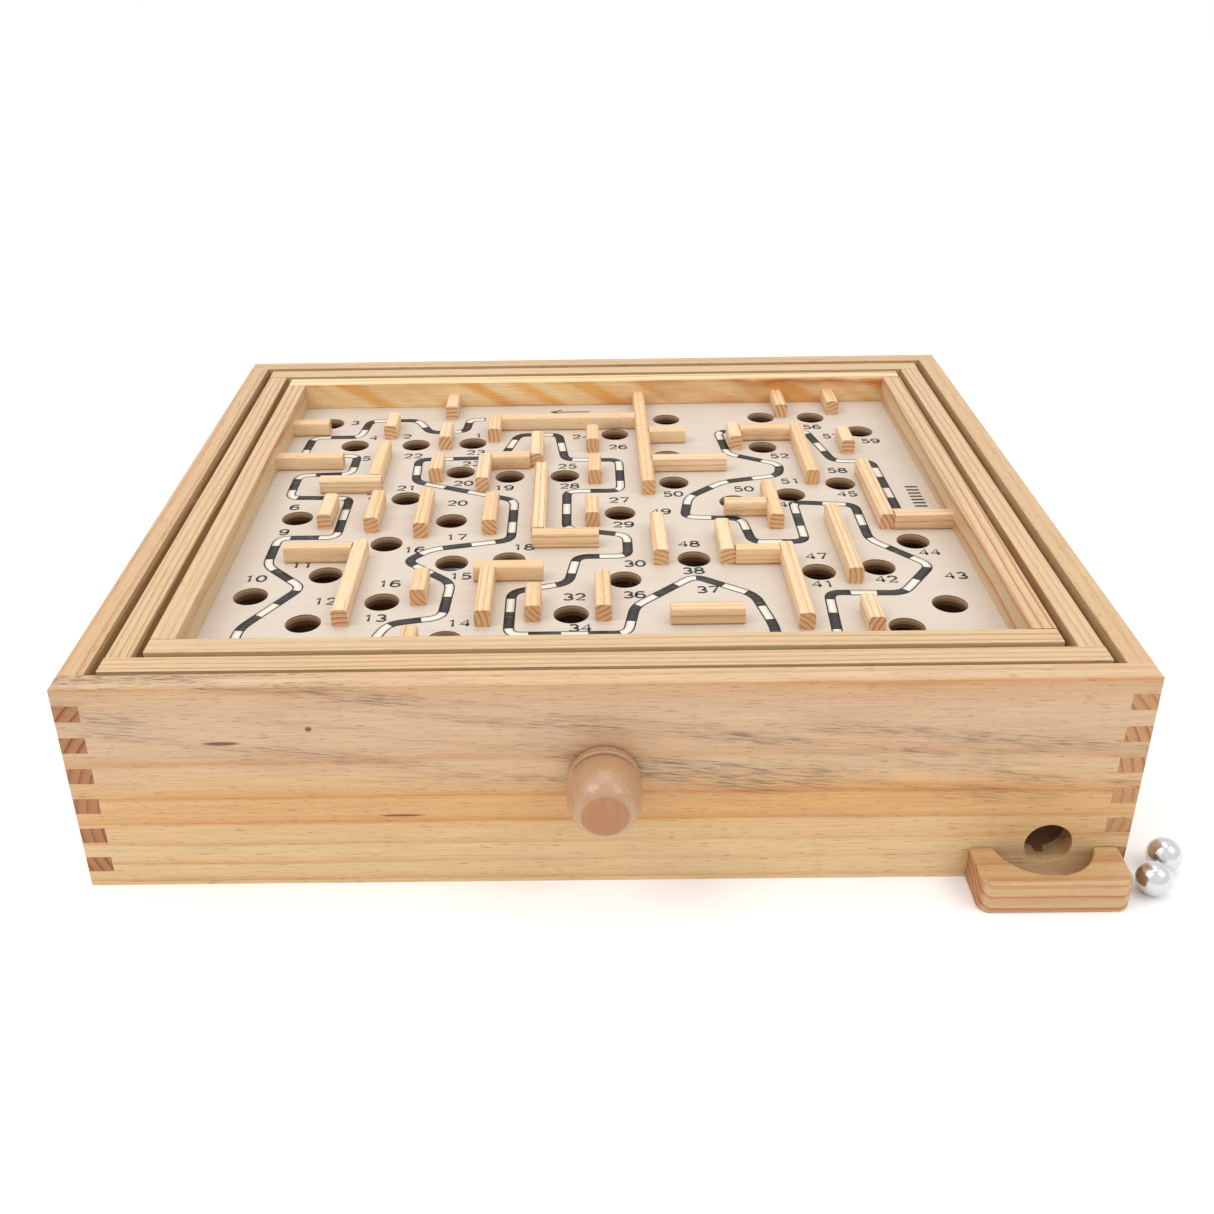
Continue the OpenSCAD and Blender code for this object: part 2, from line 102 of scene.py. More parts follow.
# %% Place the camera
CAMERA_PLACE = at(-5.17, -469.76, 291.05)
CAMERA_YAW, CAMERA_PITCH, CAMERA_ROLL = -0.010089, 0.474985, -0.017131
forward = Vector((
    math.sin(CAMERA_YAW) * math.cos(CAMERA_PITCH),
    math.cos(CAMERA_YAW) * math.cos(CAMERA_PITCH),
    -math.sin(CAMERA_PITCH),
))
level_right = Vector((math.cos(CAMERA_YAW), -math.sin(CAMERA_YAW), 0))
level_up = level_right.cross(forward)
right = math.cos(CAMERA_ROLL) * level_right + math.sin(CAMERA_ROLL) * level_up
up = math.cos(CAMERA_ROLL) * level_up - math.sin(CAMERA_ROLL) * level_right

lens = bpy.data.cameras.new("camera")
lens.lens, lens.sensor_width = 39.12, 36
lens.shift_x, lens.shift_y = 0.0284, -0.0554
lens.clip_start, lens.clip_end = 0.01, 50
camera = bpy.data.objects.new("camera", lens)
bpy.context.scene.collection.objects.link(camera)
turn = Matrix((right, up, -forward)).transposed()
camera.matrix_world = Matrix.Translation(CAMERA_PLACE) @ turn.to_4x4()
bpy.context.scene.camera = camera
print("camera at", [round(v, 3) for v in CAMERA_PLACE])

# %% [markdown]
# ## Colours and nodes
# Colours are picked as screen values from 0 to 255, while Blender mixes light in linear values. One
# helper turns the first into the second. Another adds a node, sets its inputs and links it in one line.

# %% Helpers for colours and nodes


def screen(red, green, blue):
    """A screen colour as the linear colour that the renderer uses."""
    values = [v / 255 for v in (red, green, blue)]
    return tuple(v / 12.92 if v <= 0.04045 else ((v + 0.055) / 1.055) ** 2.4 for v in values) + (1,)


def put(tree, kind, inputs=None, **settings):
    """Adds a node to a tree. An input's value is a number, a colour, or another node's output."""
    node = tree.nodes.new(kind)
    for name, value in settings.items():
        setattr(node, name, value)
    for name, value in (inputs or {}).items():
        if isinstance(value, bpy.types.NodeSocket):
            tree.links.new(value, node.inputs[name])
        else:
            node.inputs[name].default_value = value
    return node


def maths(tree, operation, a, b=0.0, clamp=False):
    """One sum on two numbers or outputs."""
    return put(tree, "ShaderNodeMath", {0: a, 1: b}, operation=operation, use_clamp=clamp).outputs[0]


def times(tree, a, b, clamp=False):
    """The product of two numbers or outputs."""
    return maths(tree, "MULTIPLY", a, b, clamp)


def plus(tree, a, b, clamp=False):
    """The sum of two numbers or outputs."""
    return maths(tree, "ADD", a, b, clamp)


def minus(tree, a, b, clamp=False):
    """The first number or output less the second."""
    return maths(tree, "SUBTRACT", a, b, clamp)


def vectors(tree, operation, a, b):
    """One sum on two places or directions."""
    return put(tree, "ShaderNodeVectorMath", {0: a, 1: b}, operation=operation).outputs[0]


def scaled(tree, place, size):
    """A place multiplied by one number."""
    return put(tree, "ShaderNodeVectorMath", {0: place, "Scale": size}, operation="SCALE").outputs[0]


def slope(tree, value, low, high):
    """0 below one level and 1 above another, with an even slope between them."""
    return put(tree, "ShaderNodeMapRange", {"Value": value, "From Min": low, "From Max": high}).outputs[0]


def split(tree, place):
    """The x, y and z of a place."""
    return put(tree, "ShaderNodeSeparateXYZ", {0: place}).outputs


def mixed(tree, amount, a, b, blend="MIX"):
    """One colour mixed into another."""
    node = put(tree, "ShaderNodeMix", {0: amount, 6: a, 7: b}, data_type="RGBA", blend_type=blend)
    return node.outputs[2]


def patches(tree, place, scale, low, high, detail=2.0, stretch=(1, 1, 1)):
    """Soft patches from 0 to 1: a stretched noise, cut between two levels."""
    spread = put(tree, "ShaderNodeVectorMath", {0: place, 1: stretch}, operation="MULTIPLY").outputs[0]
    noise = put(tree, "ShaderNodeTexNoise", {"Vector": spread, "Scale": scale, "Detail": detail})
    levels = {"Value": noise.outputs[0], "From Min": low, "From Max": high}
    return put(tree, "ShaderNodeMapRange", levels, interpolation_type="SMOOTHSTEP").outputs[0]


def new_material(name):
    """An empty material, its tree and its shader."""
    material = bpy.data.materials.new(name)
    material.use_nodes = True
    return material, material.node_tree, material.node_tree.nodes["Principled BSDF"]


def dented(tree, shader, height, strength, depth):
    """Gives a shader small dents; the depth is in millimetres."""
    bump = put(tree, "ShaderNodeBump", {"Height": height, "Strength": strength, "Distance": depth * MM})
    tree.links.new(bump.outputs[0], shader.inputs["Normal"])


def new_group(name, inputs, outputs):
    """An empty shader group with named sockets, and its input and output nodes."""
    group = bpy.data.node_groups.new(name, "ShaderNodeTree")
    for title, kind, value in inputs:
        socket = group.interface.new_socket(title, in_out="INPUT", socket_type="NodeSocket" + kind)
        socket.default_value = value
    for title, kind in outputs:
        group.interface.new_socket(title, in_out="OUTPUT", socket_type="NodeSocket" + kind)
    return group, group.nodes.new("NodeGroupInput"), group.nodes.new("NodeGroupOutput")


print("helpers ready")

# %% [markdown]
# ## Wood from growth rings
# A tree grows in rings round its pith: a wide pale band each spring and a thin dark one each autumn.
# Sawing a board cuts through these rings, so the lines on the face, the edge and the end all come from
# the same rings. The group below works in the same way: it measures how far each point lies from the
# pith, with some wander, and turns that distance into bands. Fine fibres run along the grain.

# %% The growth rings group
rings, given, made = new_group(
    "growth_rings",
    [
        ("Place", "Vector", (0, 0, 0)), ("Ring Spacing", "Float", 3.0), ("Wander", "Float", 2.0),
        ("Ring Strength", "Float", 0.6), ("Fibre Strength", "Float", 0.3), ("Fleck Strength", "Float", 0.4),
        ("Spring Wood", "Color", (1, 1, 1, 1)), ("Autumn Wood", "Color", (1, 1, 1, 1)),
    ],
    [("Colour", "Color"), ("Height", "Float"), ("Band", "Float")],
)
place = given.outputs["Place"]
DRIFT_STRETCH = (0.006, 0.022, 0.022)
YEAR_STRETCH = (0.002, 0.05, 0.05)
FIBRE_STRETCH = (0.035, 1.7, 1.7)
FLECK_STRETCH = (0.17, 2.8, 2.8)
FIBRE_SHADE, FLECK_SHADE = (0.62, 0.5, 0.38, 1), (0.42, 0.28, 0.18, 1)
slow = vectors(rings, "MULTIPLY", place, DRIFT_STRETCH)
drift = put(rings, "ShaderNodeTexNoise", {"Vector": slow, "Scale": 1.0, "Detail": 3.0})
centred = vectors(rings, "SUBTRACT", drift.outputs["Color"], (0.5, 0.5, 0.5))
moved = vectors(rings, "ADD", place, scaled(rings, centred, given.outputs["Wander"]))
_, across, up_by = split(rings, moved)
squares = plus(rings, times(rings, across, across), times(rings, up_by, up_by))
turns = maths(rings, "DIVIDE", maths(rings, "SQRT", squares), given.outputs["Ring Spacing"])
phase = maths(rings, "FRACT", turns)
bands = put(rings, "ShaderNodeValToRGB", {0: phase})
stops = bands.color_ramp.elements
stops[0].position, stops[0].color = 0.0, (0.3, 0.3, 0.3, 1)
stops[1].position, stops[1].color = 1.0, (0.4, 0.4, 0.4, 1)
for spot, level in ((0.08, 0.03), (0.6, 0.1), (0.84, 0.5), (0.94, 1.0)):
    stops.new(spot).color = (level, level, level, 1)
years = patches(rings, place, 1.0, 0.3, 0.7, 1.0, YEAR_STRETCH)
yearly = plus(rings, 0.45, times(rings, years, 0.75))
band = times(rings, times(rings, bands.outputs[0], given.outputs["Ring Strength"]), yearly, True)
fibre = patches(rings, place, 1.0, 0.3, 0.72, 3.0, FIBRE_STRETCH)
fleck = patches(rings, place, 1.0, 0.62, 0.7, 1.0, FLECK_STRETCH)
woody = mixed(rings, band, given.outputs["Spring Wood"], given.outputs["Autumn Wood"])
fibre_amount = times(rings, fibre, given.outputs["Fibre Strength"])
streaked = mixed(rings, fibre_amount, woody, FIBRE_SHADE, "MULTIPLY")
fleck_amount = times(rings, fleck, given.outputs["Fleck Strength"])
flecked = mixed(rings, fleck_amount, streaked, FLECK_SHADE, "MULTIPLY")
rings.links.new(flecked, made.inputs["Colour"])
height = minus(rings, times(rings, band, 0.4), times(rings, fibre, 0.6))
rings.links.new(height, made.inputs["Height"])
rings.links.new(band, made.inputs["Band"])
print("growth rings:", len(rings.nodes), "nodes")


def add_wood(tree, place, values):
    """The growth rings at a place in millimetres from the pith, with its values set."""
    wood = put(tree, "ShaderNodeGroup", node_tree=rings)
    tree.links.new(place, wood.inputs["Place"])
    for title, value in values.items():
        wood.inputs[title].default_value = value
    return wood


# %% [markdown]
# ## Sawn ends
# Where a saw cuts across the grain, the open ends of the fibres drink in varnish and look darker and
# redder. This group compares a face's direction with the grain's, and tints only the faces that lie
# across the grain.

# %% The sawn ends group
ends, given, made = new_group(
    "sawn_ends",
    [
        ("Colour", "Color", (1, 1, 1, 1)), ("Facing", "Vector", (0, 0, 1)),
        ("Grain", "Vector", (1, 0, 0)), ("Band", "Float", 0.0), ("Tint", "Color", (0.5, 0.3, 0.2, 1)),
        ("Strength", "Float", 0.7),
    ],
    [("Colour", "Color"), ("End", "Float")],
)
RING_SHADE = (0.42, 0.25, 0.14, 1)
lined_up = put(
    ends, "ShaderNodeVectorMath", {0: given.outputs["Facing"], 1: given.outputs["Grain"]},
    operation="DOT_PRODUCT",
).outputs["Value"]
end_shown = slope(ends, times(ends, lined_up, lined_up), 0.35, 0.8)
tint_amount = times(ends, end_shown, given.outputs["Strength"])
tinted = mixed(ends, tint_amount, given.outputs["Colour"], given.outputs["Tint"], "MULTIPLY")
ring_amount = times(ends, end_shown, times(ends, given.outputs["Band"], 0.9, True))
striped = mixed(ends, ring_amount, tinted, RING_SHADE, "MULTIPLY")
ends.links.new(striped, made.inputs["Colour"])
ends.links.new(end_shown, made.inputs["End"])
print("sawn ends:", len(ends.nodes), "nodes")

# %% [markdown]
# ## One maker for all the pine
# Every board of the game is pine, but no two come from the same spot of a tree. The function below
# takes the direction of the grain and the place of the pith for one board, and builds its material.
# The clear varnish is a thin glossy coat with very small dents where the fibres stand.

# %% Pine for any board
ALONG_X, ALONG_Y = (1, 0, 0), (0, 1, 0)
SPRING = screen(204, 170, 126)
AUTUMN = screen(176, 116, 62)
END_TINT = screen(214, 176, 146)


def pine(name, node, grain, pith, spacing=3.0, wander=6.0, rings_shown=0.55, fibres=0.35, flecks=0.35,
         spring=SPRING, autumn=AUTUMN, end=END_TINT, end_strength=0.75, rough=0.42, coat=0.12, extra=None):
    """Pine whose pith lies a few millimetres (x, y, z) from the middle of a part."""
    material, tree, shader = new_material(name)
    where = put(tree, "ShaderNodeTexCoord")
    heart = middle_of(node) + Vector(pith) * MM
    shifted = vectors(tree, "SUBTRACT", where.outputs["Object"], heart)
    quarter_turn = -math.pi / 2 if grain == ALONG_Y else 0
    grain_place = put(
        tree, "ShaderNodeMapping",
        {"Vector": shifted, "Rotation": (0, 0, quarter_turn), "Scale": (1 / MM, 1 / MM, 1 / MM)},
    ).outputs[0]
    wood = add_wood(tree, grain_place, {
        "Ring Spacing": spacing, "Wander": wander, "Ring Strength": rings_shown,
        "Fibre Strength": fibres, "Fleck Strength": flecks, "Spring Wood": spring, "Autumn Wood": autumn,
    })
    colour = wood.outputs["Colour"]
    if extra:
        colour = extra(tree, grain_place, colour)
    sawn = put(tree, "ShaderNodeGroup", node_tree=ends)
    tree.links.new(colour, sawn.inputs["Colour"])
    tree.links.new(where.outputs["Normal"], sawn.inputs["Facing"])
    tree.links.new(wood.outputs["Band"], sawn.inputs["Band"])
    sawn.inputs["Grain"].default_value = grain
    sawn.inputs["Tint"].default_value = end
    sawn.inputs["Strength"].default_value = end_strength
    tree.links.new(sawn.outputs["Colour"], shader.inputs["Base Color"])
    dented(tree, shader, wood.outputs["Height"], 0.25, 0.2)
    roughness = plus(tree, rough, times(tree, sawn.outputs["End"], 0.25))
    tree.links.new(roughness, shader.inputs["Roughness"])
    shader.inputs["Coat Weight"].default_value = coat
    shader.inputs["Coat Roughness"].default_value = 0.25
    return material


print("pine is ready")

# %% [markdown]
# ## Boards with eased edges
# A joiner never leaves an edge knife sharp: a stroke of sandpaper rounds it, and the rounding catches a
# line of light. Each wooden part is copied from the model, its loose triangles are merged into clean
# faces, and a small bevel goes round its edges. The copy takes the part's place on the same body.

# %% A helper that eases a part's edges
scene_collection = bpy.context.scene.collection
BODY_OF = {node: body for body, nodes in frame["record"]["behaviour"]["bodies"].items() for node in nodes}


def new_piece(name, mesh):
    """An object for a mesh, in the scene."""
    piece = bpy.data.objects.new(name, mesh)
    scene_collection.objects.link(piece)
    return piece


def stands_for(node):
    """Hides a part of the model, as a piece is shown in its place."""
    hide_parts(node)


def coat_part(node, finish):
    """A part of the model keeps its own mesh and gets a finish."""
    materials = frame["nodes"][node].data.materials
    materials.clear()
    materials.append(finish)


def settled(obj):
    """Applies an object's modifiers, and leaves a plain mesh at the origin."""
    bpy.context.view_layer.update()
    graph = bpy.context.evaluated_depsgraph_get()
    mesh = bpy.data.meshes.new_from_object(
        obj.evaluated_get(graph), preserve_all_data_layers=True, depsgraph=graph
    )
    obj.modifiers.clear()
    obj.data = mesh
    return obj


def clean_copy(node):
    """A part's mesh with its doubled points merged, as a bmesh."""
    copy = bmesh.new()
    copy.from_mesh(frame["nodes"][node].data)
    bmesh.ops.remove_doubles(copy, verts=copy.verts, dist=0.002 * MM)
    for layer in list(copy.loops.layers.float_vector.values()):
        copy.loops.layers.float_vector.remove(layer)
    return copy


def eased(node, finish, radius=0.5, segments=3, flat_angle=1.0):
    """A copy of a wooden part with rounded edges, riding on the part's body."""
    copy = clean_copy(node)
    bmesh.ops.dissolve_limit(
        copy, angle_limit=math.radians(flat_angle), verts=copy.verts, edges=copy.edges
    )
    mesh = bpy.data.meshes.new(node + "_eased")
    copy.to_mesh(mesh)
    copy.free()
    for layer in [a for a in mesh.attributes if a.name == "custom_normal"]:
        mesh.attributes.remove(layer)
    mesh.materials.clear()
    mesh.materials.append(finish)
    piece = new_piece(node + "_eased", mesh)
    mesh.shade_smooth()
    bevel = piece.modifiers.new("eased", "BEVEL")
    bevel.width, bevel.segments = radius * MM, segments
    bevel.limit_method, bevel.angle_limit = "ANGLE", math.radians(50)
    bevel.use_clamp_overlap, bevel.harden_normals = True, True
    settled(piece)
    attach(piece, BODY_OF[node])
    stands_for(node)


print("edges can be eased")

# %% [markdown]
# ## The box walls
# The front wall is one wide board with long level lines, a few pitch marks and a grey-blue stain, which
# harmless fungi leave in pine. The other walls are plainer. In the corners the fingers of the side
# walls come through to the front, where their sawn ends show as dark red-brown patches.

# %% Marks on the front board
PITH_HEIGHT = 24.0
STAIN_LEAN = math.radians(6)
PITCH_MARKS = [(-116, 55, 6.5, 0.8), (-63, 27, 8.0, 0.5), (-89, 60, 1.2, 1.0)]


def between(tree, value, low, high, soft):
    """1 between two levels and 0 outside them, with soft borders."""
    rising = slope(tree, value, low - soft, low + soft)
    falling = slope(tree, value, high + soft, high - soft)
    return times(tree, rising, falling)


def front_marks(tree, place, colour):
    """Slanting grey-blue stain streaks, a warm band and dark pitch marks on the front wall."""
    along, _, above_pith = split(tree, place)
    height = plus(tree, above_pith, PITH_HEIGHT)
    slanting = put(tree, "ShaderNodeMapping", {"Vector": place, "Rotation": (0, -STAIN_LEAN, 0)}).outputs[0]
    leaning = plus(tree, height, times(tree, along, math.tan(STAIN_LEAN)))
    cloud = patches(tree, slanting, 1.0, 0.44, 0.62, 3.0, (0.009, 0.2, 0.11))
    hairs = patches(tree, slanting, 1.0, 0.46, 0.62, 4.0, (0.11, 1.9, 1.9))
    strip = between(tree, leaning, 0.0, 31.0, 6.0)
    reach = times(tree, cloud, strip)
    clouded = mixed(tree, times(tree, reach, 0.4), colour, screen(214, 212, 214), "MULTIPLY")
    stained = mixed(
        tree, times(tree, reach, times(tree, hairs, 0.8)),
        clouded, screen(142, 120, 132), "MULTIPLY",
    )
    pink = mixed(tree, between(tree, height, 4.0, 40.0, 8.0), stained, screen(244, 240, 255), "MULTIPLY")
    warm = patches(tree, place, 1.0, 0.3, 0.7, 2.0, (0.004, 0.05, 0.05))
    glow = times(tree, plus(tree, warm, 0.5), between(tree, height, -15.0, 2.0, 8.0))
    warmed = mixed(tree, times(tree, glow, 0.6), pink, screen(246, 216, 172), "MULTIPLY")
    for x, z, half_length, half_height in PITCH_MARKS:
        across = maths(tree, "DIVIDE", minus(tree, along, x), half_length)
        up_by = maths(tree, "DIVIDE", minus(tree, height, z - WALL_MIDDLE), half_height)
        squares = plus(tree, times(tree, across, across), times(tree, up_by, up_by))
        spot = minus(tree, 1.0, squares, True)
        warmed = mixed(tree, times(tree, spot, 1.6, True), warmed, screen(120, 66, 40))
    return warmed


WALL_MIDDLE = middle_of("front_wall").z / MM
front_pine = pine(
    "front_pine", "front_wall", ALONG_X, (0, 46, PITH_HEIGHT), 5.2, 3.0, 0.8, 0.35, 0.6,
    spring=screen(214, 184, 138), autumn=screen(198, 140, 74), extra=front_marks,
)
back_pine = pine("back_pine", "back_wall", ALONG_X, (70, -52, -8), 4.6, 4.0, 0.8, 0.35, 0.6)
left_pine = pine(
    "left_pine", "left_wall", ALONG_Y, (44, -38, -12), 3.4, 4.0, 0.8, 0.35, 0.5,
    end=screen(208, 168, 136), end_strength=0.9,
)
right_pine = pine(
    "right_pine", "right_wall", ALONG_Y, (-46, 44, -6), 3.2, 4.0, 0.8, 0.35, 0.5, end=screen(230, 200, 172),
)
WALL_FINISH = {
    "front_wall": front_pine, "back_wall": back_pine, "left_wall": left_pine, "right_wall": right_pine,
}
for node, finish in WALL_FINISH.items():
    eased(node, finish, 0.3)
print("walls:", ", ".join(WALL_FINISH))

# %% [markdown]
# ## The tray and the corner block
# The tray is a small block with a scoop, glued to the front. Its grain runs left to right, so its left
# end shows curved rings. The corner block sits inside the box and steers the ball out.

# %% The tray, the corner block and the floor
tray_pine = pine(
    "tray_pine", "ball_tray", ALONG_X, (12, 9, -19), 3.3, 2.0, 1.3, 0.4, 0.4,
    spring=screen(202, 166, 120), autumn=screen(172, 104, 50), end=screen(226, 186, 152),
)
eased("ball_tray", tray_pine, 1.0, 4, 4.0)
guide_pine = pine("guide_pine", "ball_guide", ALONG_X, (3, 14, -9), 2.5)
eased("ball_guide", guide_pine, 0.3)
# The floor panel is wood, but its colours are made darker than the wood's own as painted shade, since it
# lies in shadow under the board.
floor_wood_painted_shade = pine(
    "floor_wood_painted_shade", "floor_panel", ALONG_X, (90, -30, -400), 2.8, 40.0, 0.4, 0.5,
    spring=screen(146, 102, 72), autumn=screen(112, 72, 48), rough=0.6, coat=0.0,
)
coat_part("floor_panel", floor_wood_painted_shade)
print("tray, block and floor done")

# %% [markdown]
# ## The two rocking frames
# The rails are sawn with the rings standing on edge, so their tops show straight orange lines. Every
# rail gets its own pith, so no two have the same pattern. The inner back rail faces the player
# and was sawn nearly flat: its rings show as bold flames.

# %% The frames' rails
RAILS = {
    "outer_front_rail": (ALONG_X, (30, 60, 10), 2.6, 5.0, 1.15),
    "outer_back_rail": (ALONG_X, (-90, 50, 6), 2.6, 5.0, 0.9),
    "outer_left_rail": (ALONG_Y, (48, 20, -14), 2.4, 5.0, 1.3),
    "outer_right_rail": (ALONG_Y, (-46, 60, 8), 2.6, 5.0, 1.3),
    "inner_front_rail": (ALONG_X, (-20, 42, 12), 3.2, 5.0, 1.0),
    "inner_back_rail": (ALONG_X, (55, 22, 4), 5.5, 16.0, 1.1),
    "inner_left_rail": (ALONG_Y, (-40, -30, 12), 2.8, 5.0, 1.2),
    "inner_right_rail": (ALONG_Y, (36, 10, -12), 2.8, 5.0, 1.2),
}


def upright_faces(tree):
    """1 on faces that stand upright and 0 on level ones."""
    up_by = split(tree, put(tree, "ShaderNodeTexCoord").outputs["Normal"])[2]
    return minus(tree, 1.0, maths(tree, "ABSOLUTE", up_by), True)


def flames(tree, place, colour):
    """Wide slanting orange bands on the upright faces, as a board sawn almost flat shows them."""
    along, _, up_by = split(tree, place)
    leaning = plus(tree, along, times(tree, up_by, 1.6))
    line = put(tree, "ShaderNodeCombineXYZ", {0: leaning, 1: times(tree, up_by, 0.3)})
    waves = put(tree, "ShaderNodeTexNoise", {"Vector": line.outputs[0], "Scale": 0.045, "Detail": 1.0})
    crest = slope(tree, waves.outputs["Fac"], 0.46, 0.6)
    shown = times(tree, crest, upright_faces(tree))
    return mixed(tree, shown, colour, screen(246, 212, 160), "MULTIPLY")


RAIL_FIGURES = {"inner_back_rail": flames}
RAIL_SPRING = {"inner_back_rail": screen(236, 208, 158)}
for node, (grain, pith, spacing, wander, shown) in RAILS.items():
    finish = pine(
        node + "_pine", node, grain, pith, spacing, wander, shown, 0.3,
        spring=RAIL_SPRING.get(node, screen(207, 180, 138)), autumn=screen(182, 112, 50),
        extra=RAIL_FIGURES.get(node),
    )
    eased(node, finish, 0.6)
print("rails:", len(RAILS))

# %% [markdown]
# ## The maze board
# The board is thin plywood with a very pale face and hardly any figure. Its holes are drilled, so
# their walls show the plies: pale and brown layers in turn. A band pattern on the height gives them,
# and it is shown only on upright faces.

# %% The board's plywood
PLY_HEIGHT = 0.7
BOARD_PITH_DEPTH = 300.0
PALE_PLY, BROWN_PLY, HOLE_SHADE_PLY = screen(190, 166, 134), screen(160, 128, 98), screen(104, 68, 46)


def ply_layers(tree, place, colour):
    """Pale and brown layers on faces that stand upright, darkened towards their bottom as painted shade deep
    in the holes.
    """
    upright = upright_faces(tree)
    above = minus(tree, split(tree, place)[2], BOARD_PITH_DEPTH - (board_high.z - board_low.z) / MM / 2)
    phase = maths(tree, "FRACT", maths(tree, "DIVIDE", above, 2 * PLY_HEIGHT))
    layers = mixed(tree, maths(tree, "GREATER_THAN", phase, 0.5), PALE_PLY, BROWN_PLY)
    # Painted shade: the plies turn dark brown towards the bottom of each upright face, where shade falls
    # deep in the holes.
    shaded_in_holes = mixed(tree, slope(tree, above, 2.4, 1.4), layers, HOLE_SHADE_PLY)
    return mixed(tree, upright, colour, shaded_in_holes)


board_ply = pine(
    "board_ply", "maze_board", ALONG_X, (0, 0, -BOARD_PITH_DEPTH), 6.0, 30.0, 0.2, 0.14, 0.12,
    spring=screen(207, 194, 180), autumn=screen(192, 172, 145), end_strength=0.0,
    rough=0.5, coat=0.0, extra=ply_layers,
)
coat_part("maze_board", board_ply)
print("board: plies of", PLY_HEIGHT, "mm")

# %% [markdown]
# ## The maze bars
# Fifty short strips are cut from one long eased moulding and glued down. A rule like this suits
# Geometry Nodes: one tree makes a strip of a given length from a rounded outline, keeps each point's
# place in the strip as an attribute for the grain, and lays a copy on every mark with its own number.

# %% The tree that lays a row of bars


def new_tree(name, inputs):
    """An empty geometry tree with a geometry input and output and named values."""
    tree = bpy.data.node_groups.new(name, "GeometryNodeTree")
    tree.interface.new_socket("Marks", in_out="INPUT", socket_type="NodeSocketGeometry")
    for title, kind in inputs:
        tree.interface.new_socket(title, in_out="INPUT", socket_type="NodeSocket" + kind)
    tree.interface.new_socket("Result", in_out="OUTPUT", socket_type="NodeSocketGeometry")
    return tree, tree.nodes.new("NodeGroupInput").outputs, tree.nodes.new("NodeGroupOutput").inputs


def end_tree(tree, last, finish, made):
    """Makes a tree's instances real, gives them a finish and hands them out."""
    real = put(tree, "GeometryNodeRealizeInstances", {0: last.outputs[0]})
    finished = put(tree, "GeometryNodeSetMaterial", {"Geometry": real.outputs[0], "Material": finish})
    tree.links.new(finished.outputs[0], made[0])


def strip_tree():
    """Bars of one length, laid on marks that carry their turn."""
    tree, given, made = new_tree(
        "maze_bar_layer",
        [("Length", "Float"), ("Width", "Float"), ("Height", "Float"), ("Easing", "Float"),
         ("Seed", "Int"), ("Finish", "Material")],
    )
    half = times(tree, given["Length"], 0.5)
    start = put(tree, "ShaderNodeCombineXYZ", {0: times(tree, half, -1.0)})
    stop = put(tree, "ShaderNodeCombineXYZ", {0: half})
    line = put(tree, "GeometryNodeCurvePrimitiveLine", {"Start": start.outputs[0], "End": stop.outputs[0]})
    level = put(tree, "GeometryNodeSetCurveNormal", {"Curve": line.outputs[0]}, mode="Z_UP")
    outline = put(
        tree, "GeometryNodeCurvePrimitiveQuadrilateral", {"Width": given["Width"], "Height": given["Height"]}
    )
    rounded = put(
        tree, "GeometryNodeFilletCurve",
        {"Curve": outline.outputs[0], "Radius": given["Easing"], "Count": 3}, mode="POLY",
    )
    strip = put(
        tree, "GeometryNodeCurveToMesh",
        {"Curve": level.outputs[0], "Profile Curve": rounded.outputs[0], "Fill Caps": True},
    )
    raise_by = put(tree, "ShaderNodeCombineXYZ", {2: times(tree, given["Height"], 0.5)})
    lifted = put(
        tree, "GeometryNodeTransform", {"Geometry": strip.outputs[0], "Translation": raise_by.outputs[0]}
    )
    spot = put(tree, "GeometryNodeInputPosition")
    kept = put(
        tree, "GeometryNodeStoreNamedAttribute",
        {"Geometry": lifted.outputs[0], "Name": "grain_place", "Value": spot.outputs[0]},
        data_type="FLOAT_VECTOR", domain="POINT",
    )
    turned = put(tree, "GeometryNodeInputNamedAttribute", {"Name": "turn"}, data_type="FLOAT")
    turn_about = put(tree, "ShaderNodeCombineXYZ", {2: turned.outputs[0]})
    laid = put(
        tree, "GeometryNodeInstanceOnPoints",
        {"Points": given["Marks"], "Instance": kept.outputs[0], "Rotation": turn_about.outputs[0]},
    )
    number = put(tree, "FunctionNodeRandomValue", {"Seed": given["Seed"]}, data_type="FLOAT")
    numbered = put(
        tree, "GeometryNodeStoreNamedAttribute",
        {"Geometry": laid.outputs[0], "Name": "bar_number", "Value": number.outputs[1]},
        data_type="FLOAT", domain="INSTANCE",
    )
    end_tree(tree, numbered, given["Finish"], made)
    return tree


def grown(name, marks, tree, settings):
    """Runs a geometry tree on a mesh of marks, and keeps the result as a plain mesh."""
    piece = new_piece(name, marks)
    modifier = piece.modifiers.new("nodes", "NODES")
    modifier.node_group = tree
    for item in tree.interface.items_tree:
        if item.item_type == "SOCKET" and item.in_out == "INPUT" and item.name in settings:
            modifier[item.identifier] = settings[item.name]
    return settled(piece)


bar_tree = strip_tree()
print("bar tree:", len(bar_tree.nodes), "nodes")

# %% [markdown]
# ## The bars' wood
# The strips are pale pine. On their sawn ends the rings show as dark slanting stripes. The material
# reads the place in the strip that the tree stored, shifted by the bar's own number, so each bar is
# cut from another part of the tree.

# %% The bars' material
bar_pine, bar_nodes, bar_shader = new_material("bar_pine")
BAR_PITH, BAR_SHIFT = 17.0, 977.0
in_strip = put(bar_nodes, "ShaderNodeAttribute", attribute_name="grain_place")
own_number = put(bar_nodes, "ShaderNodeAttribute", attribute_name="bar_number")
angle = times(bar_nodes, own_number.outputs["Fac"], 2 * math.pi)
pith_offset = put(
    bar_nodes, "ShaderNodeCombineXYZ",
    {
        0: times(bar_nodes, own_number.outputs["Fac"], BAR_SHIFT),
        1: times(bar_nodes, maths(bar_nodes, "COSINE", angle), BAR_PITH),
        2: times(bar_nodes, maths(bar_nodes, "SINE", angle), BAR_PITH),
    },
).outputs[0]
from_pith = vectors(
    bar_nodes, "ADD", scaled(bar_nodes, in_strip.outputs["Vector"], 1 / MM), pith_offset
)
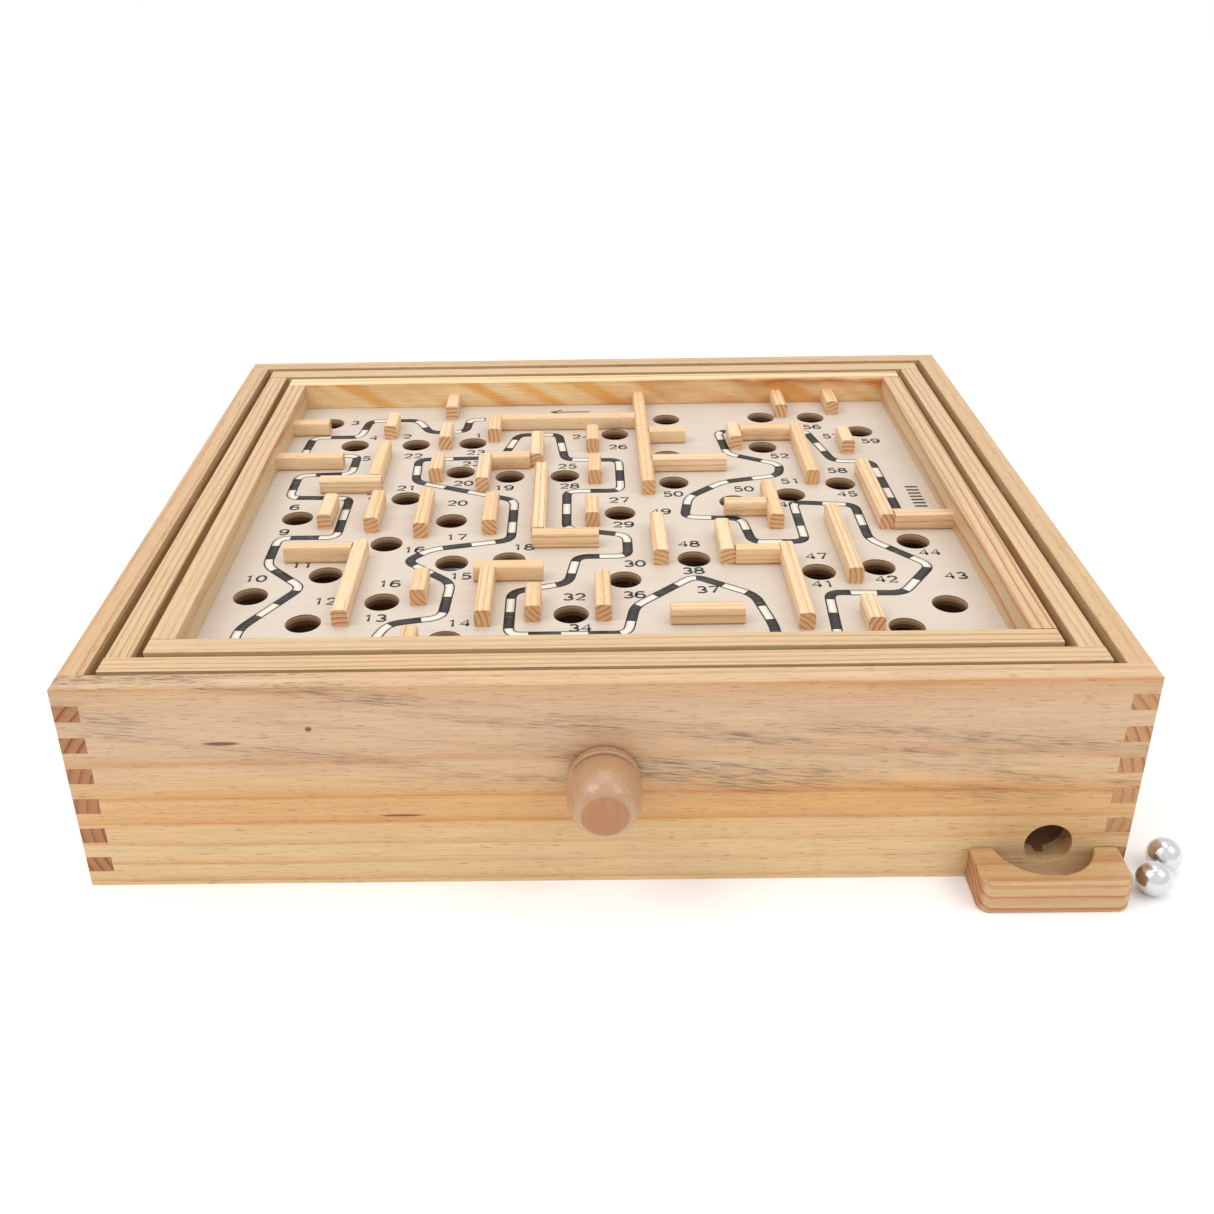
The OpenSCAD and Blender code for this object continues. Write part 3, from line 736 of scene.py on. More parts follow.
bar_wood = add_wood(bar_nodes, from_pith, {
    "Ring Spacing": 1.9, "Wander": 2.0, "Ring Strength": 0.85, "Fibre Strength": 0.25,
    "Spring Wood": screen(234, 208, 170), "Autumn Wood": screen(206, 148, 94),
})
bar_ends = put(bar_nodes, "ShaderNodeAttribute", attribute_name="sawn_end")
shade = times(bar_nodes, own_number.outputs["Fac"], 0.5)
varied = mixed(bar_nodes, shade, bar_wood.outputs["Colour"], screen(244, 218, 182), "MULTIPLY")
at_ends = bar_ends.outputs["Fac"]
end_tinted = mixed(bar_nodes, times(bar_nodes, at_ends, 0.8), varied, screen(248, 226, 208), "MULTIPLY")
end_lines = times(bar_nodes, at_ends, bar_wood.outputs["Band"])
sawn_bar = mixed(bar_nodes, end_lines, end_tinted, screen(150, 92, 54))
bar_nodes.links.new(sawn_bar, bar_shader.inputs["Base Color"])
dented(bar_nodes, bar_shader, bar_wood.outputs["Height"], 0.3, 0.2)
bar_shader.inputs["Roughness"].default_value = 0.5
bar_shader.inputs["Coat Weight"].default_value = 0.06
print("bar wood ready")

# %% [markdown]
# ## Finding the bars
# The model says where each bar is. A part with several bars falls into islands of joined faces, and
# the box round an island gives one bar's middle, length and direction.

# %% Lay every row of bars
BAR_ROWS = sorted(node for node in frame["nodes"] if node.startswith("maze_bars_"))


def island_boxes(node):
    """The (lowest, highest) corners of each separate solid in a part."""
    copy = clean_copy(node)
    copy.verts.ensure_lookup_table()
    seen, boxes = set(), []
    for first in copy.verts:
        if first.index in seen:
            continue
        queue, members = [first], []
        seen.add(first.index)
        while queue:
            point = queue.pop()
            members.append(point.co.copy())
            for edge in point.link_edges:
                other = edge.other_vert(point)
                if other.index not in seen:
                    seen.add(other.index)
                    queue.append(other)
        low = Vector([min(p[i] for p in members) for i in range(3)])
        high = Vector([max(p[i] for p in members) for i in range(3)])
        boxes.append((low, high))
    copy.free()
    return boxes


BAR_EASING = 1.2
bar_total = 0
for seed, node in enumerate(BAR_ROWS):
    boxes = island_boxes(node)
    marks = bpy.data.meshes.new(node + "_marks")
    sizes = [high - low for low, high in boxes]
    marks.from_pydata([((lo.x + hi.x) / 2, (lo.y + hi.y) / 2, lo.z) for lo, hi in boxes], [], [])
    turns_made = marks.attributes.new("turn", "FLOAT", "POINT")
    turns_made.data.foreach_set("value", [0.0 if size.x > size.y else math.pi / 2 for size in sizes])
    length, width = max(sizes[0].x, sizes[0].y), min(sizes[0].x, sizes[0].y)
    row = grown(node + "_wood", marks, bar_tree, {
        "Length": length, "Width": width, "Height": sizes[0].z,
        "Easing": BAR_EASING * MM, "Seed": seed, "Finish": bar_pine,
    })
    ends_layer = row.data.attributes.new("sawn_end", "FLOAT", "FACE")
    grain_values = row.data.attributes["grain_place"].data
    flags = []
    for face in row.data.polygons:
        spots = [grain_values[v].vector.x for v in face.vertices]
        all_at_end = all(abs(abs(x) - length / 2) < 0.01 * MM for x in spots)
        flags.append(1.0 if all_at_end and len({round(x, 5) for x in spots}) == 1 else 0.0)
    ends_layer.data.foreach_set("value", flags)
    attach(row, "inner_frame")
    stands_for(node)
    bar_total += len(boxes)
print("bars laid:", bar_total)

# %% [markdown]
# ## The printed track
# The route is printed on the board as a line of black and white dashes with a thin black edge. Its
# corners are rounded. The route is a list of corner points; a short function rounds them and cuts the
# line into even steps, and a tree turns each run of steps into a very thin strip of ink.

# %% The route of the track
ROUTE = [
    (-50, 97), (-57, 97), (-58, 83), (-74, 82), (-81, 97), (-103, 97), (-105, 78), (-126, 78), (-127, 57),
    (-103, 57), (-103, 38), (-125, 37), (-125, 15), (-100, 14), (-100, -21), (-122, -21), (-122, -43),
    (-106, -60), (-122, -88), (-122, -101), (-77, -101), (-72, -86), (-54, -82), (-53, -58), (-71, -41),
    (-63, -32), (-33, -25), (-33, 10), (-75, 29), (-76, 52), (-40, 53), (-34, 78), (-16, 78), (-13, 50),
    (10, 49), (10, 18), (-12, 18), (-12, -16), (11, -22), (11, -39), (-8, -39), (-11, -59), (-31, -65),
    (-31, -94), (9, -94), (12, -76), (34, -55), (54, -69), (58, -90), (58, -101), (78, -101), (80, -68),
    (106, -69), (120, -49), (102, -28), (102, 2), (78, 5), (78, -29), (58, -29), (56, -9), (34, -7),
    (37, 11), (52, 25), (76, 31), (78, 42), (57, 54), (55, 79), (94, 79), (101, 45), (117, 44), (118, -2),
]
CORNER_RADIUS = 4.5
STEP = 0.5


def rounded_route(corners, radius, step):
    """Evenly spaced points along a line through corners, each rounded by a curve."""
    points = [Vector(corners[0])]
    for before, corner, after in zip(corners, corners[1:], corners[2:]):
        here = Vector(corner)
        back, on = Vector(before) - here, Vector(after) - here
        cut = min(radius, back.length * 0.48, on.length * 0.48)
        first, last = here + back.normalized() * cut, here + on.normalized() * cut
        for i in range(9):
            t = i / 8
            points.append(first * (1 - t) ** 2 + here * (2 * t * (1 - t)) + last * t * t)
    points.append(Vector(corners[-1]))
    even, left_over = [points[0].copy()], 0.0
    for a, b in zip(points, points[1:]):
        length = (b - a).length
        travelled = step - left_over
        while travelled <= length:
            even.append(a.lerp(b, travelled / length))
            travelled += step
        left_over = length - (travelled - step)
    return even


route = rounded_route(ROUTE, CORNER_RADIUS, STEP)
print("track:", round(len(route) * STEP / 1000, 2), "metres long")

# %% [markdown]
# ## Ink
# Printing ink lies on the wood as a film. Here it is a real strip, three hundredths of a millimetre
# thick, so that its edges stay crisp from any distance. White dashes lie on top of a black line, and
# the black that is left beside them is their thin edge.

# %% The ink materials and the strip tree


def ink(name, colour, rough):
    """A flat printed ink that lets a little of the wood's texture through."""
    material, tree, shader = new_material(name)
    where = put(tree, "ShaderNodeTexCoord")
    worn = patches(tree, where.outputs["Object"], 900.0, 0.55, 0.8, 3.0, (0.2, 1, 1))
    shown = mixed(tree, times(tree, worn, 0.25), colour, screen(190, 178, 160))
    tree.links.new(shown, shader.inputs["Base Color"])
    shader.inputs["Roughness"].default_value = rough
    return material


black_ink = ink("black_ink", screen(30, 28, 28), 0.5)
white_ink = ink("white_ink", screen(226, 219, 206), 0.5)

ink_tree, ink_given, ink_made = new_tree(
    "ink_strip", [("Width", "Float"), ("Thickness", "Float"), ("Finish", "Material")]
)
ink_line = put(ink_tree, "GeometryNodeMeshToCurve", {0: ink_given["Marks"]})
ink_level = put(ink_tree, "GeometryNodeSetCurveNormal", {"Curve": ink_line.outputs[0]}, mode="Z_UP")
ink_outline = put(
    ink_tree, "GeometryNodeCurvePrimitiveQuadrilateral",
    {"Width": ink_given["Width"], "Height": ink_given["Thickness"]},
)
ink_strip = put(
    ink_tree, "GeometryNodeCurveToMesh",
    {"Curve": ink_level.outputs[0], "Profile Curve": ink_outline.outputs[0], "Fill Caps": True},
)
end_tree(ink_tree, ink_strip, ink_given["Finish"], ink_made)
print("inks ready")

# %% [markdown]
# ## The track
# The track is a black line with white dashes on it. The line could be drawn as a picture on the board,
# but a picture blurs when it is looked at closely. The ink tree lays it along the route as a strip, and
# each dash is a short stretch of the same route, so the dashes follow every bend.

# %% Print the track
LINE_WIDTH, DASH_WIDTH, DASH, GAP = 3.8, 2.8, 9.0, 11.0
INK_THICKNESS = 0.03


def runs_on_board(name, runs, height):
    """A mesh of open lines on the board, from lists of points in millimetres."""
    points, edges = [], []
    for run in runs:
        start = len(points)
        points += [at(x, y) + Vector((0, 0, BOARD_TOP + height * MM)) for x, y in run]
        edges += [(start + i, start + i + 1) for i in range(len(run) - 1)]
    mesh = bpy.data.meshes.new(name)
    mesh.from_pydata(points, edges, [])
    return mesh


def printed(name, runs, width, level, finish):
    """A print on the board, riding on the inner frame."""
    marks = runs_on_board(name + "_line", runs, INK_THICKNESS * (level + 0.5))
    settings = {"Width": width * MM, "Thickness": INK_THICKNESS * MM, "Finish": finish}
    piece = grown(name, marks, ink_tree, settings)
    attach(piece, "inner_frame")


period = int((DASH + GAP) / STEP)
dash_steps = int(DASH / STEP)
dashes = [route[i:i + dash_steps + 1] for i in range(1, len(route) - 2, period)]
printed("track_line", [route], LINE_WIDTH, 0, black_ink)
printed("track_dashes", dashes, DASH_WIDTH, 1, white_ink)
print("white dashes:", len(dashes))

# %% [markdown]
# ## Numbers
# Small numbers beside the holes count how far a player has come. Each digit is a few pen strokes,
# straight lines and bows, and the ink tree gives the strokes their width.

# %% Print the numbers
NUMBERS = [
    (3, -110, 96), (4, -99, 78), (2, -84, 79), (1, -52, 79), (5, -99, 55), (22, -79, 57), (23, -52, 60),
    (23, -53, 48), (20, -55, 28), (21, -78, 24), (7, -92, 16), (20, -56, 9), (6, -121, 7), (9, -121, -15),
    (10, -124, -52), (11, -109, -42), (12, -96, -69), (13, -77, -81), (16, -75, -57), (16, -69, -31),
    (17, -54, -21), (15, -50, -52), (14, -48, -85), (18, -28, -30), (19, -38, 23), (24, -6, 76),
    (25, -12, 44), (26, 10, 64), (28, -11, 24), (27, 9, 10), (29, 10, -12), (30, 13, -44), (32, -9, -68),
    (34, -7, -89), (36, 12, -67), (37, 38, -64), (38, 34, -50), (48, 34, -29), (49, 25, -1), (50, 31, 15),
    (50, 60, 19), (51, 80, 26), (52, 79, 52), (56, 98, 84), (57, 105, 73), (58, 101, 36), (59, 121, 67),
    (45, 101, 13), (46, 76, 4), (47, 80, -40), (44, 122, -38), (43, 127, -56), (42, 102, -58), (41, 79, -61),
]
DIGIT_WIDTH, DIGIT_HEIGHT, DIGIT_STEP = 3.2, 4.3, 4.3
DROP = 1.0


def bow(x, y, across, up, first, last, steps=8):
    """Points along part of an oval, in a digit's own width and height."""
    turn = [math.radians(first + (last - first) * i / steps) for i in range(steps + 1)]
    return [(x + across * math.cos(a), y + up * math.sin(a)) for a in turn]


TOP_BOW, LOW_BOW = (0.5, 0.72, 0.42, 0.28), (0.5, 0.3, 0.5, 0.3)
DIGITS = {
    "0": [bow(0.5, 0.5, 0.5, 0.5, 0, 360, 16)],
    "1": [[(0.25, 0.8), (0.55, 1), (0.55, 0)]],
    "2": [bow(0.5, 0.7, 0.45, 0.3, 170, -30) + [(0.05, 0), (1, 0)]],
    "3": [bow(*TOP_BOW, 150, -90), bow(0.5, 0.24, 0.5, 0.24, 90, -150)],
    "4": [[(0.75, 0), (0.75, 1), (0, 0.32), (1, 0.32)]],
    "5": [[(0.92, 1), (0.2, 1), (0.1, 0.5)] + bow(0.45, 0.32, 0.5, 0.32, 120, -145)],
    "6": [bow(0.55, 0.6, 0.5, 0.4, 40, 180) + [(0.03, 0.35)], bow(*LOW_BOW, 0, 360, 14)],
    "7": [[(0, 1), (1, 1), (0.4, 0)]],
    "8": [bow(0.5, 0.77, 0.4, 0.23, 0, 360, 14), bow(0.5, 0.27, 0.5, 0.27, 0, 360, 14)],
    "9": [bow(0.45, 0.4, 0.5, 0.4, -140, 0) + [(0.97, 0.65)], bow(0.5, 0.7, 0.5, 0.3, 0, 360, 14)],
}


def number_strokes(number, x, y):
    """The pen strokes of a number whose middle lies at a spot of the board."""
    text = str(number)
    left = x - (DIGIT_STEP * (len(text) - 1) + DIGIT_WIDTH) / 2
    return [
        [(left + i * DIGIT_STEP + u * DIGIT_WIDTH, y - DROP + (v - 0.5) * DIGIT_HEIGHT) for u, v in stroke]
        for i, digit in enumerate(text) for stroke in DIGITS[digit]
    ]


all_strokes = [stroke for number, x, y in NUMBERS for stroke in number_strokes(number, x, y)]
printed("hole_numbers", all_strokes, 0.95, 0, black_ink)
print("numbers:", len(NUMBERS))

# %% [markdown]
# ## The ends of the route
# Two plain marks show where the route begins and ends: an arrow where the ball starts, and a small
# ladder of bars where it arrives. They are straight lines, so they are printed as the digits are.

# %% Print the start and the finish marks
START_MARK = [[(-20, 105), (-2, 105)], [(-15, 107.4), (-20, 105), (-15, 102.6)]]
printed("start_mark", START_MARK, 1.0, 0, black_ink)
FINISH_MARK = [[(125.5, y), (130.5, y)] for y in range(0, 20, 3)]
printed("finish_mark", FINISH_MARK, 1.3, 0, black_ink)
print("marks printed")

# %% [markdown]
# ## The knobs
# A knob is turned on a lathe from beech and lacquered. A lathe makes a shape from one outline spun
# round an axis, and the same is done here. The body is a rounded dome with a flat face, and a thin
# groove parts it from its collar.

# %% Turned shapes


def skinned(name, shape, circles, finish):
    """A closed, smooth mesh through circles of points. A circle may be a single point."""
    for low, high in zip(circles, circles[1:]):
        count = max(len(low), len(high))
        for i in range(count):
            n = (i + 1) % count
            corners = [low[i % len(low)], low[n % len(low)], high[n % len(high)], high[i % len(high)]]
            unique = list(dict.fromkeys(corners))
            if len(unique) > 2:
                shape.faces.new(unique)
    bmesh.ops.recalc_face_normals(shape, faces=shape.faces)
    mesh = bpy.data.meshes.new(name)
    shape.to_mesh(mesh)
    shape.free()
    mesh.shade_smooth()
    mesh.materials.append(finish)
    return mesh


def lathe(name, outline, origin, axis, finish, steps=96):
    """A solid spun from an outline of (radius, distance) in millimetres along an axis."""
    shape = bmesh.new()
    circles = []
    for radius, distance in outline:
        if radius == 0:
            circles.append([shape.verts.new((0, 0, distance * MM))])
            continue
        turns_round = [2 * math.pi * i / steps for i in range(steps)]
        circles.append([
            shape.verts.new((radius * MM * math.cos(a), radius * MM * math.sin(a), distance * MM))
            for a in turns_round
        ])
    mesh = skinned(name, shape, circles, finish)
    turn_to = Vector((0, 0, 1)).rotation_difference(Vector(axis)).to_matrix().to_4x4()
    mesh.transform(Matrix.Translation(origin) @ turn_to)
    mesh.set_sharp_from_angle(angle=math.radians(40))
    return new_piece(name, mesh)


def arc(centre, radii, start, stop, steps):
    """Points on part of an oval, between two angles in degrees."""
    angles = [math.radians(start + (stop - start) * i / steps) for i in range(steps + 1)]
    return [(centre[0] + radii[0] * math.cos(a), centre[1] + radii[1] * math.sin(a)) for a in angles]


KNOB_R, KNOB_LENGTH, FACE_R, BELLY, SEAM = 11.6, 20.0, 6.1, 9.0, 3.4
KNOB_OUTLINE = (
    [(0, 0), (KNOB_R - 1.1, 0)] + arc((KNOB_R - 1.1, 0.6), (0.6, 0.6), -90, 0, 4)
    + arc((KNOB_R - 1.1, SEAM - 0.8), (0.6, 0.6), 0, 90, 4)
    + [(KNOB_R - 1.8, SEAM), (KNOB_R - 1.8, SEAM + 0.25)]
    + arc((KNOB_R - 1.6, BELLY), (1.6, BELLY - SEAM - 0.3), -80, 0, 10)
    + arc((FACE_R, BELLY), (KNOB_R - FACE_R, KNOB_LENGTH - BELLY), 6, 84, 16)
    + [(FACE_R, KNOB_LENGTH - 0.02), (FACE_R - 0.5, KNOB_LENGTH), (0, KNOB_LENGTH)]
)
print("knob outline:", len(KNOB_OUTLINE), "points")

# %% [markdown]
# ## Lacquered beech
# Beech is redder than pine, with short dark flecks. The lacquer is thick enough to blur the wood's
# texture and to reflect lamps softly, so the shader gets a strong clear coat. The flat face cuts the
# fibres across and is darker, like every sawn end.

# %% The knobs


FACE_BLUR = 0.35 * MM


def beech(name, node, axis, face_distance):
    """Lacquered beech for a knob that stands out along an axis."""
    material, tree, shader = new_material(name)
    where = put(tree, "ShaderNodeTexCoord")
    shifted = vectors(tree, "SUBTRACT", where.outputs["Object"], middle_of(node))
    tall = put(
        tree, "ShaderNodeMapping",
        {"Vector": shifted, "Rotation": (0, math.pi / 2, 0), "Scale": (1 / MM, 1 / MM, 1 / MM)},
    ).outputs[0]
    wood = add_wood(tree, vectors(tree, "ADD", tall, (0, 40, 22)), {
        "Ring Spacing": 2.1, "Wander": 2.0, "Ring Strength": 0.3, "Fibre Strength": 0.3,
        "Spring Wood": screen(179, 139, 103), "Autumn Wood": screen(160, 115, 77),
    })
    reach = put(
        tree, "ShaderNodeVectorMath", {0: shifted, 1: axis}, operation="DOT_PRODUCT"
    ).outputs["Value"]
    face = times(tree, slope(tree, reach, face_distance - FACE_BLUR, face_distance), 0.9)
    toned = mixed(tree, face, wood.outputs["Colour"], screen(238, 196, 130), "MULTIPLY")
    tree.links.new(toned, shader.inputs["Base Color"])
    shader.inputs["Roughness"].default_value = 0.38
    shader.inputs["Coat Weight"].default_value = 0.8
    shader.inputs["Coat Roughness"].default_value = 0.22
    return material


KNOBS = {"front_knob": ((0, -1, 0), "front_control"), "side_knob": ((1, 0, 0), "side_control")}
for node, (axis, body) in KNOBS.items():
    base = middle_of(node) - Vector(axis) * KNOB_LENGTH * MM / 2
    finish = beech(node + "_beech", node, axis, (KNOB_LENGTH / 2 - 0.05) * MM)
    knob = lathe(node + "_turned", KNOB_OUTLINE, base, axis, finish)
    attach(knob, body)
    stands_for(node)
print("knobs:", list(KNOBS))

# %% [markdown]
# ## Metal, plastic and cord
# The balls and rods are steel. Polished steel mirrors its surroundings, but ground rods carry fine
# rings from the grinding wheel, and bearing balls have a satin skin. The washers are white plastic
# and the cords are twisted nylon.

# %% Small finishes


def plain_finish(name, colour, metal, rough, fine_scale, fine_amount, stretch=(1, 1, 1), coat=0.0):
    """A finish with fine marks in its colour, roughness and surface."""
    material, tree, shader = new_material(name)
    where = put(tree, "ShaderNodeTexCoord")
    marks_seen = patches(tree, where.outputs["Object"], fine_scale, 0.35, 0.75, 4.0, stretch)
    darker = tuple(v * 0.75 for v in colour[:3]) + (1,)
    shown = mixed(tree, times(tree, marks_seen, fine_amount), colour, darker)
    tree.links.new(shown, shader.inputs["Base Color"])
    tree.links.new(plus(tree, rough, times(tree, marks_seen, 0.1)), shader.inputs["Roughness"])
    dented(tree, shader, marks_seen, 0.08, 0.1)
    shader.inputs["Metallic"].default_value = metal
    shader.inputs["Coat Weight"].default_value = coat
    return material


ball_steel = plain_finish("ball_steel", screen(214, 215, 217), 1.0, 0.16, 700.0, 0.3)
rod_steel = plain_finish("rod_steel", screen(200, 202, 205), 1.0, 0.28, 900.0, 0.5)
wire_steel = plain_finish("wire_steel", screen(188, 190, 194), 1.0, 0.3, 1500.0, 0.5)
white_plastic = plain_finish("white_plastic", screen(238, 238, 234), 0.0, 0.4, 900.0, 0.25)
nylon = plain_finish("cord_nylon", screen(226, 222, 212), 0.0, 0.6, 4000.0, 0.8)
SMALL_PARTS = {
    "front_shaft": rod_steel, "side_shaft": rod_steel, "outer_pivot_pins": rod_steel,
    "inner_pivot_pins": rod_steel, "inner_frame_eyes": wire_steel, "outer_frame_eyes": wire_steel,
    "front_shaft_collar": white_plastic, "side_shaft_collar": white_plastic,
    "outer_pivot_washers": white_plastic, "inner_pivot_washers": white_plastic,
}
for node, finish in SMALL_PARTS.items():
    coat_part(node, finish)
print("small parts:", len(SMALL_PARTS))

# %% [markdown]
# ## The balls
# One steel ball is for play and one is a spare. Both wait on the table by the tray. Each is lathed
# from half a circle, which gives clean rings of faces with two poles.

# %% The balls
for node, body in (("maze_ball", "maze_ball_body"), ("spare_ball", "spare_ball_body")):
    low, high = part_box(node)
    ball_r = (high.z - low.z) / 2 / MM
    half_circle = [(0, -ball_r)] + arc((0, 0), (ball_r, ball_r), -86, 86, 43) + [(0, ball_r)]
    ball = lathe(node + "_steel", half_circle, middle_of(node), (0, 0, 1), ball_steel, 72)
    ball.data.set_sharp_from_angle(angle=math.radians(180))
    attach(ball, body)
    stands_for(node)
print("balls: radius", round(ball_r, 2), "mm")

# %% [markdown]
# ## Tubes
# A cord and a wire are both round tubes along a path. At each point of the path a circle of points is
# laid square to the path, and a skin joins the circles. The circle's side direction is carried along
# from point to point, so that the tube doesn't twist.

# %% Tubes along a path


def tube(name, path, radii, finish, sides=10):
    """A round tube along a list of points, with a radius in millimetres for each point."""
    shape = bmesh.new()
    circles, side = [], None
    angles = [2 * math.pi * k / sides for k in range(sides)]
    for i, point in enumerate(path):
        ahead = (path[min(i + 1, len(path) - 1)] - path[max(i - 1, 0)]).normalized()
        if side is None:
            side = ahead.orthogonal().normalized()
        side = (side - ahead * side.dot(ahead)).normalized()
        other_side = ahead.cross(side)
        circles.append([
            shape.verts.new(point + (side * math.cos(a) + other_side * math.sin(a)) * (radii[i] * MM))
            for a in angles
        ])
    shape.faces.new(circles[0][::-1])
    shape.faces.new(circles[-1])
    return new_piece(name, skinned(name, shape, circles, finish))


print("tubes ready")

# %% [markdown]
# ## The control cords
# Each cord is knotted behind one screw eye, runs to its shaft, winds three times round it and runs on
# to a small spring that hooks into the other eye. Its runs stretch between the shaft and the rocking
# frame, so they bend between two bodies, while the turns of the winding stay on the shaft. The front
# cord crosses two joints, so each of its runs starts with a short piece that bends from the box to the
# outer frame, and the rest bends from the outer frame to the inner one.

# %% A cord with its winding and its spring
WINDING_R, WINDING_TURNS, HALF_WINDING, CORD_R = 3.01, 3, 1.5, 0.45
NEAR_REACH = 25.3
KNOT_PLACES, KNOT_RADII = (1.0, 1.6, 2.3, 3.0, 3.5), (0.7, 1.35, 1.65, 1.3, 0.5)
LOOP_PLACES, LOOP_RADII = (0.5, 1.0, 1.5, 2.0), (0.8, 1.0, 1.0, 0.5)
SPRING_R, SPRING_WIRE, SPRING_TURNS, SPRING_LENGTH, SPRING_INSET = 2.0, 0.35, 12, 17.0, 9.0
TURN_STEPS, COIL_STEPS = 24, 16


def control_cord(name, origin, along, across, eye_rise, reach, start_body, end_body):
    """A cord's runs, its winding and its spring. Its eyes lie a reach to each side of the shaft."""
    climb = (eye_rise - WINDING_R) / reach
    free_from = 0.0 if start_body == "box" else NEAR_REACH
    spring_start = reach - SPRING_INSET - SPRING_LENGTH
    loop_at = spring_start - LOOP_PLACES[-1]

    def spot(a, b, c):
        """A point a along, b across and c up from the shaft, in millimetres."""
        return origin + (along * a + across * b + Vector((0, 0, c))) * MM

    def on_run(a, side):
        """A point of the run on one side, some way out from the shaft."""
        return spot(side * a, side * HALF_WINDING, WINDING_R + a * climb)

    def free_run(length, steps, side):
        """A run's points from where it comes free, in steps counted from the shaft."""
        outward = [a for a in [length * i / steps for i in range(steps + 1)] if a >= free_from]
        return [on_run(a, side) for a in ([free_from] if free_from else []) + outward]

    def bent(title, path, radii, bodies, between_points,
             part=name, finish=nylon, sides=10):
        """A tube that bends between two bodies."""
        piece = tube(f"{name}_{title}", path, radii, finish, sides)
        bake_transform(piece, *bodies, *between_points)
        stands_for(part)

    turns_round = [2 * math.pi * i / TURN_STEPS for i in range(TURN_STEPS * WINDING_TURNS + 1)]
    winding = [
        spot(WINDING_R * math.sin(t), -HALF_WINDING + t / (2 * math.pi), WINDING_R * math.cos(t))
        for t in turns_round
    ]
    wound = tube(name + "_winding", winding, [CORD_R] * len(winding), nylon)
    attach(wound, "box")
    stands_for(name)
    if free_from:
        for title, side in (("left", -1), ("right", 1)):
            near = [on_run(NEAR_REACH * i / 8, side) for i in range(9)]
            bent(title + "_start", near, [CORD_R] * 9, ("box", start_body), (near[0], near[-1]))

    left_run = free_run(reach, 30, -1)
    left_radii = [CORD_R] * len(left_run) + list(KNOT_RADII)
    left_run += [spot(-reach - a, -HALF_WINDING, eye_rise) for a in KNOT_PLACES]
    right_run = free_run(loop_at, 24, 1)
    right_radii = [CORD_R] * len(right_run) + list(LOOP_RADII)
    right_run += [on_run(loop_at + a, 1) for a in LOOP_PLACES]

    coil = []
    for i in range(SPRING_TURNS * COIL_STEPS + 1):
        a, t = spring_start + SPRING_LENGTH * i / (SPRING_TURNS * COIL_STEPS), 2 * math.pi * i / COIL_STEPS
        coil.append(spot(
            a, HALF_WINDING + SPRING_R * math.cos(t), WINDING_R + a * climb + SPRING_R * math.sin(t)
        ))
    end = spring_start + SPRING_LENGTH
    for i in range(1, 5):
        coil.append(spot(end + i, HALF_WINDING + SPRING_R * (1 - i / 4), WINDING_R + (end + i) * climb))
    coil += [spot(reach + a, HALF_WINDING, eye_rise) for a in (-2.5, 0, 1.8)]
    hook_turn = [math.radians(v) for v in (30, 60, 90)]
    coil += [spot(reach + 1.8 + math.sin(t), HALF_WINDING, eye_rise - 1 + math.cos(t)) for t in hook_turn]
    coil.append(spot(reach + 2.8, HALF_WINDING, eye_rise - 2.4))

    bodies, free_rise = (start_body, end_body), WINDING_R + free_from * climb
    left_span = spot(-free_from, 0, free_rise), spot(-reach, 0, eye_rise)
    right_span = spot(free_from, 0, free_rise), spot(reach, 0, eye_rise)
    bent("left_run", left_run, left_radii, bodies, left_span)
    bent("right_run", right_run, right_radii, bodies, right_span)
    bent(
        "spring_wire", coil, [SPRING_WIRE] * len(coil), bodies, right_span,
        name + "_spring", wire_steel, 8,
    )
    print(name, "runs", round(reach, 1), "mm to each side of its shaft")


# %% [markdown]
# ## Where the cords go
# The front cord runs left and right under the inner frame, and the side cord runs front to back under
# the outer one. Both are laid by the same function. The places of the eyes and shafts are read from
# the model, so the cords meet them.

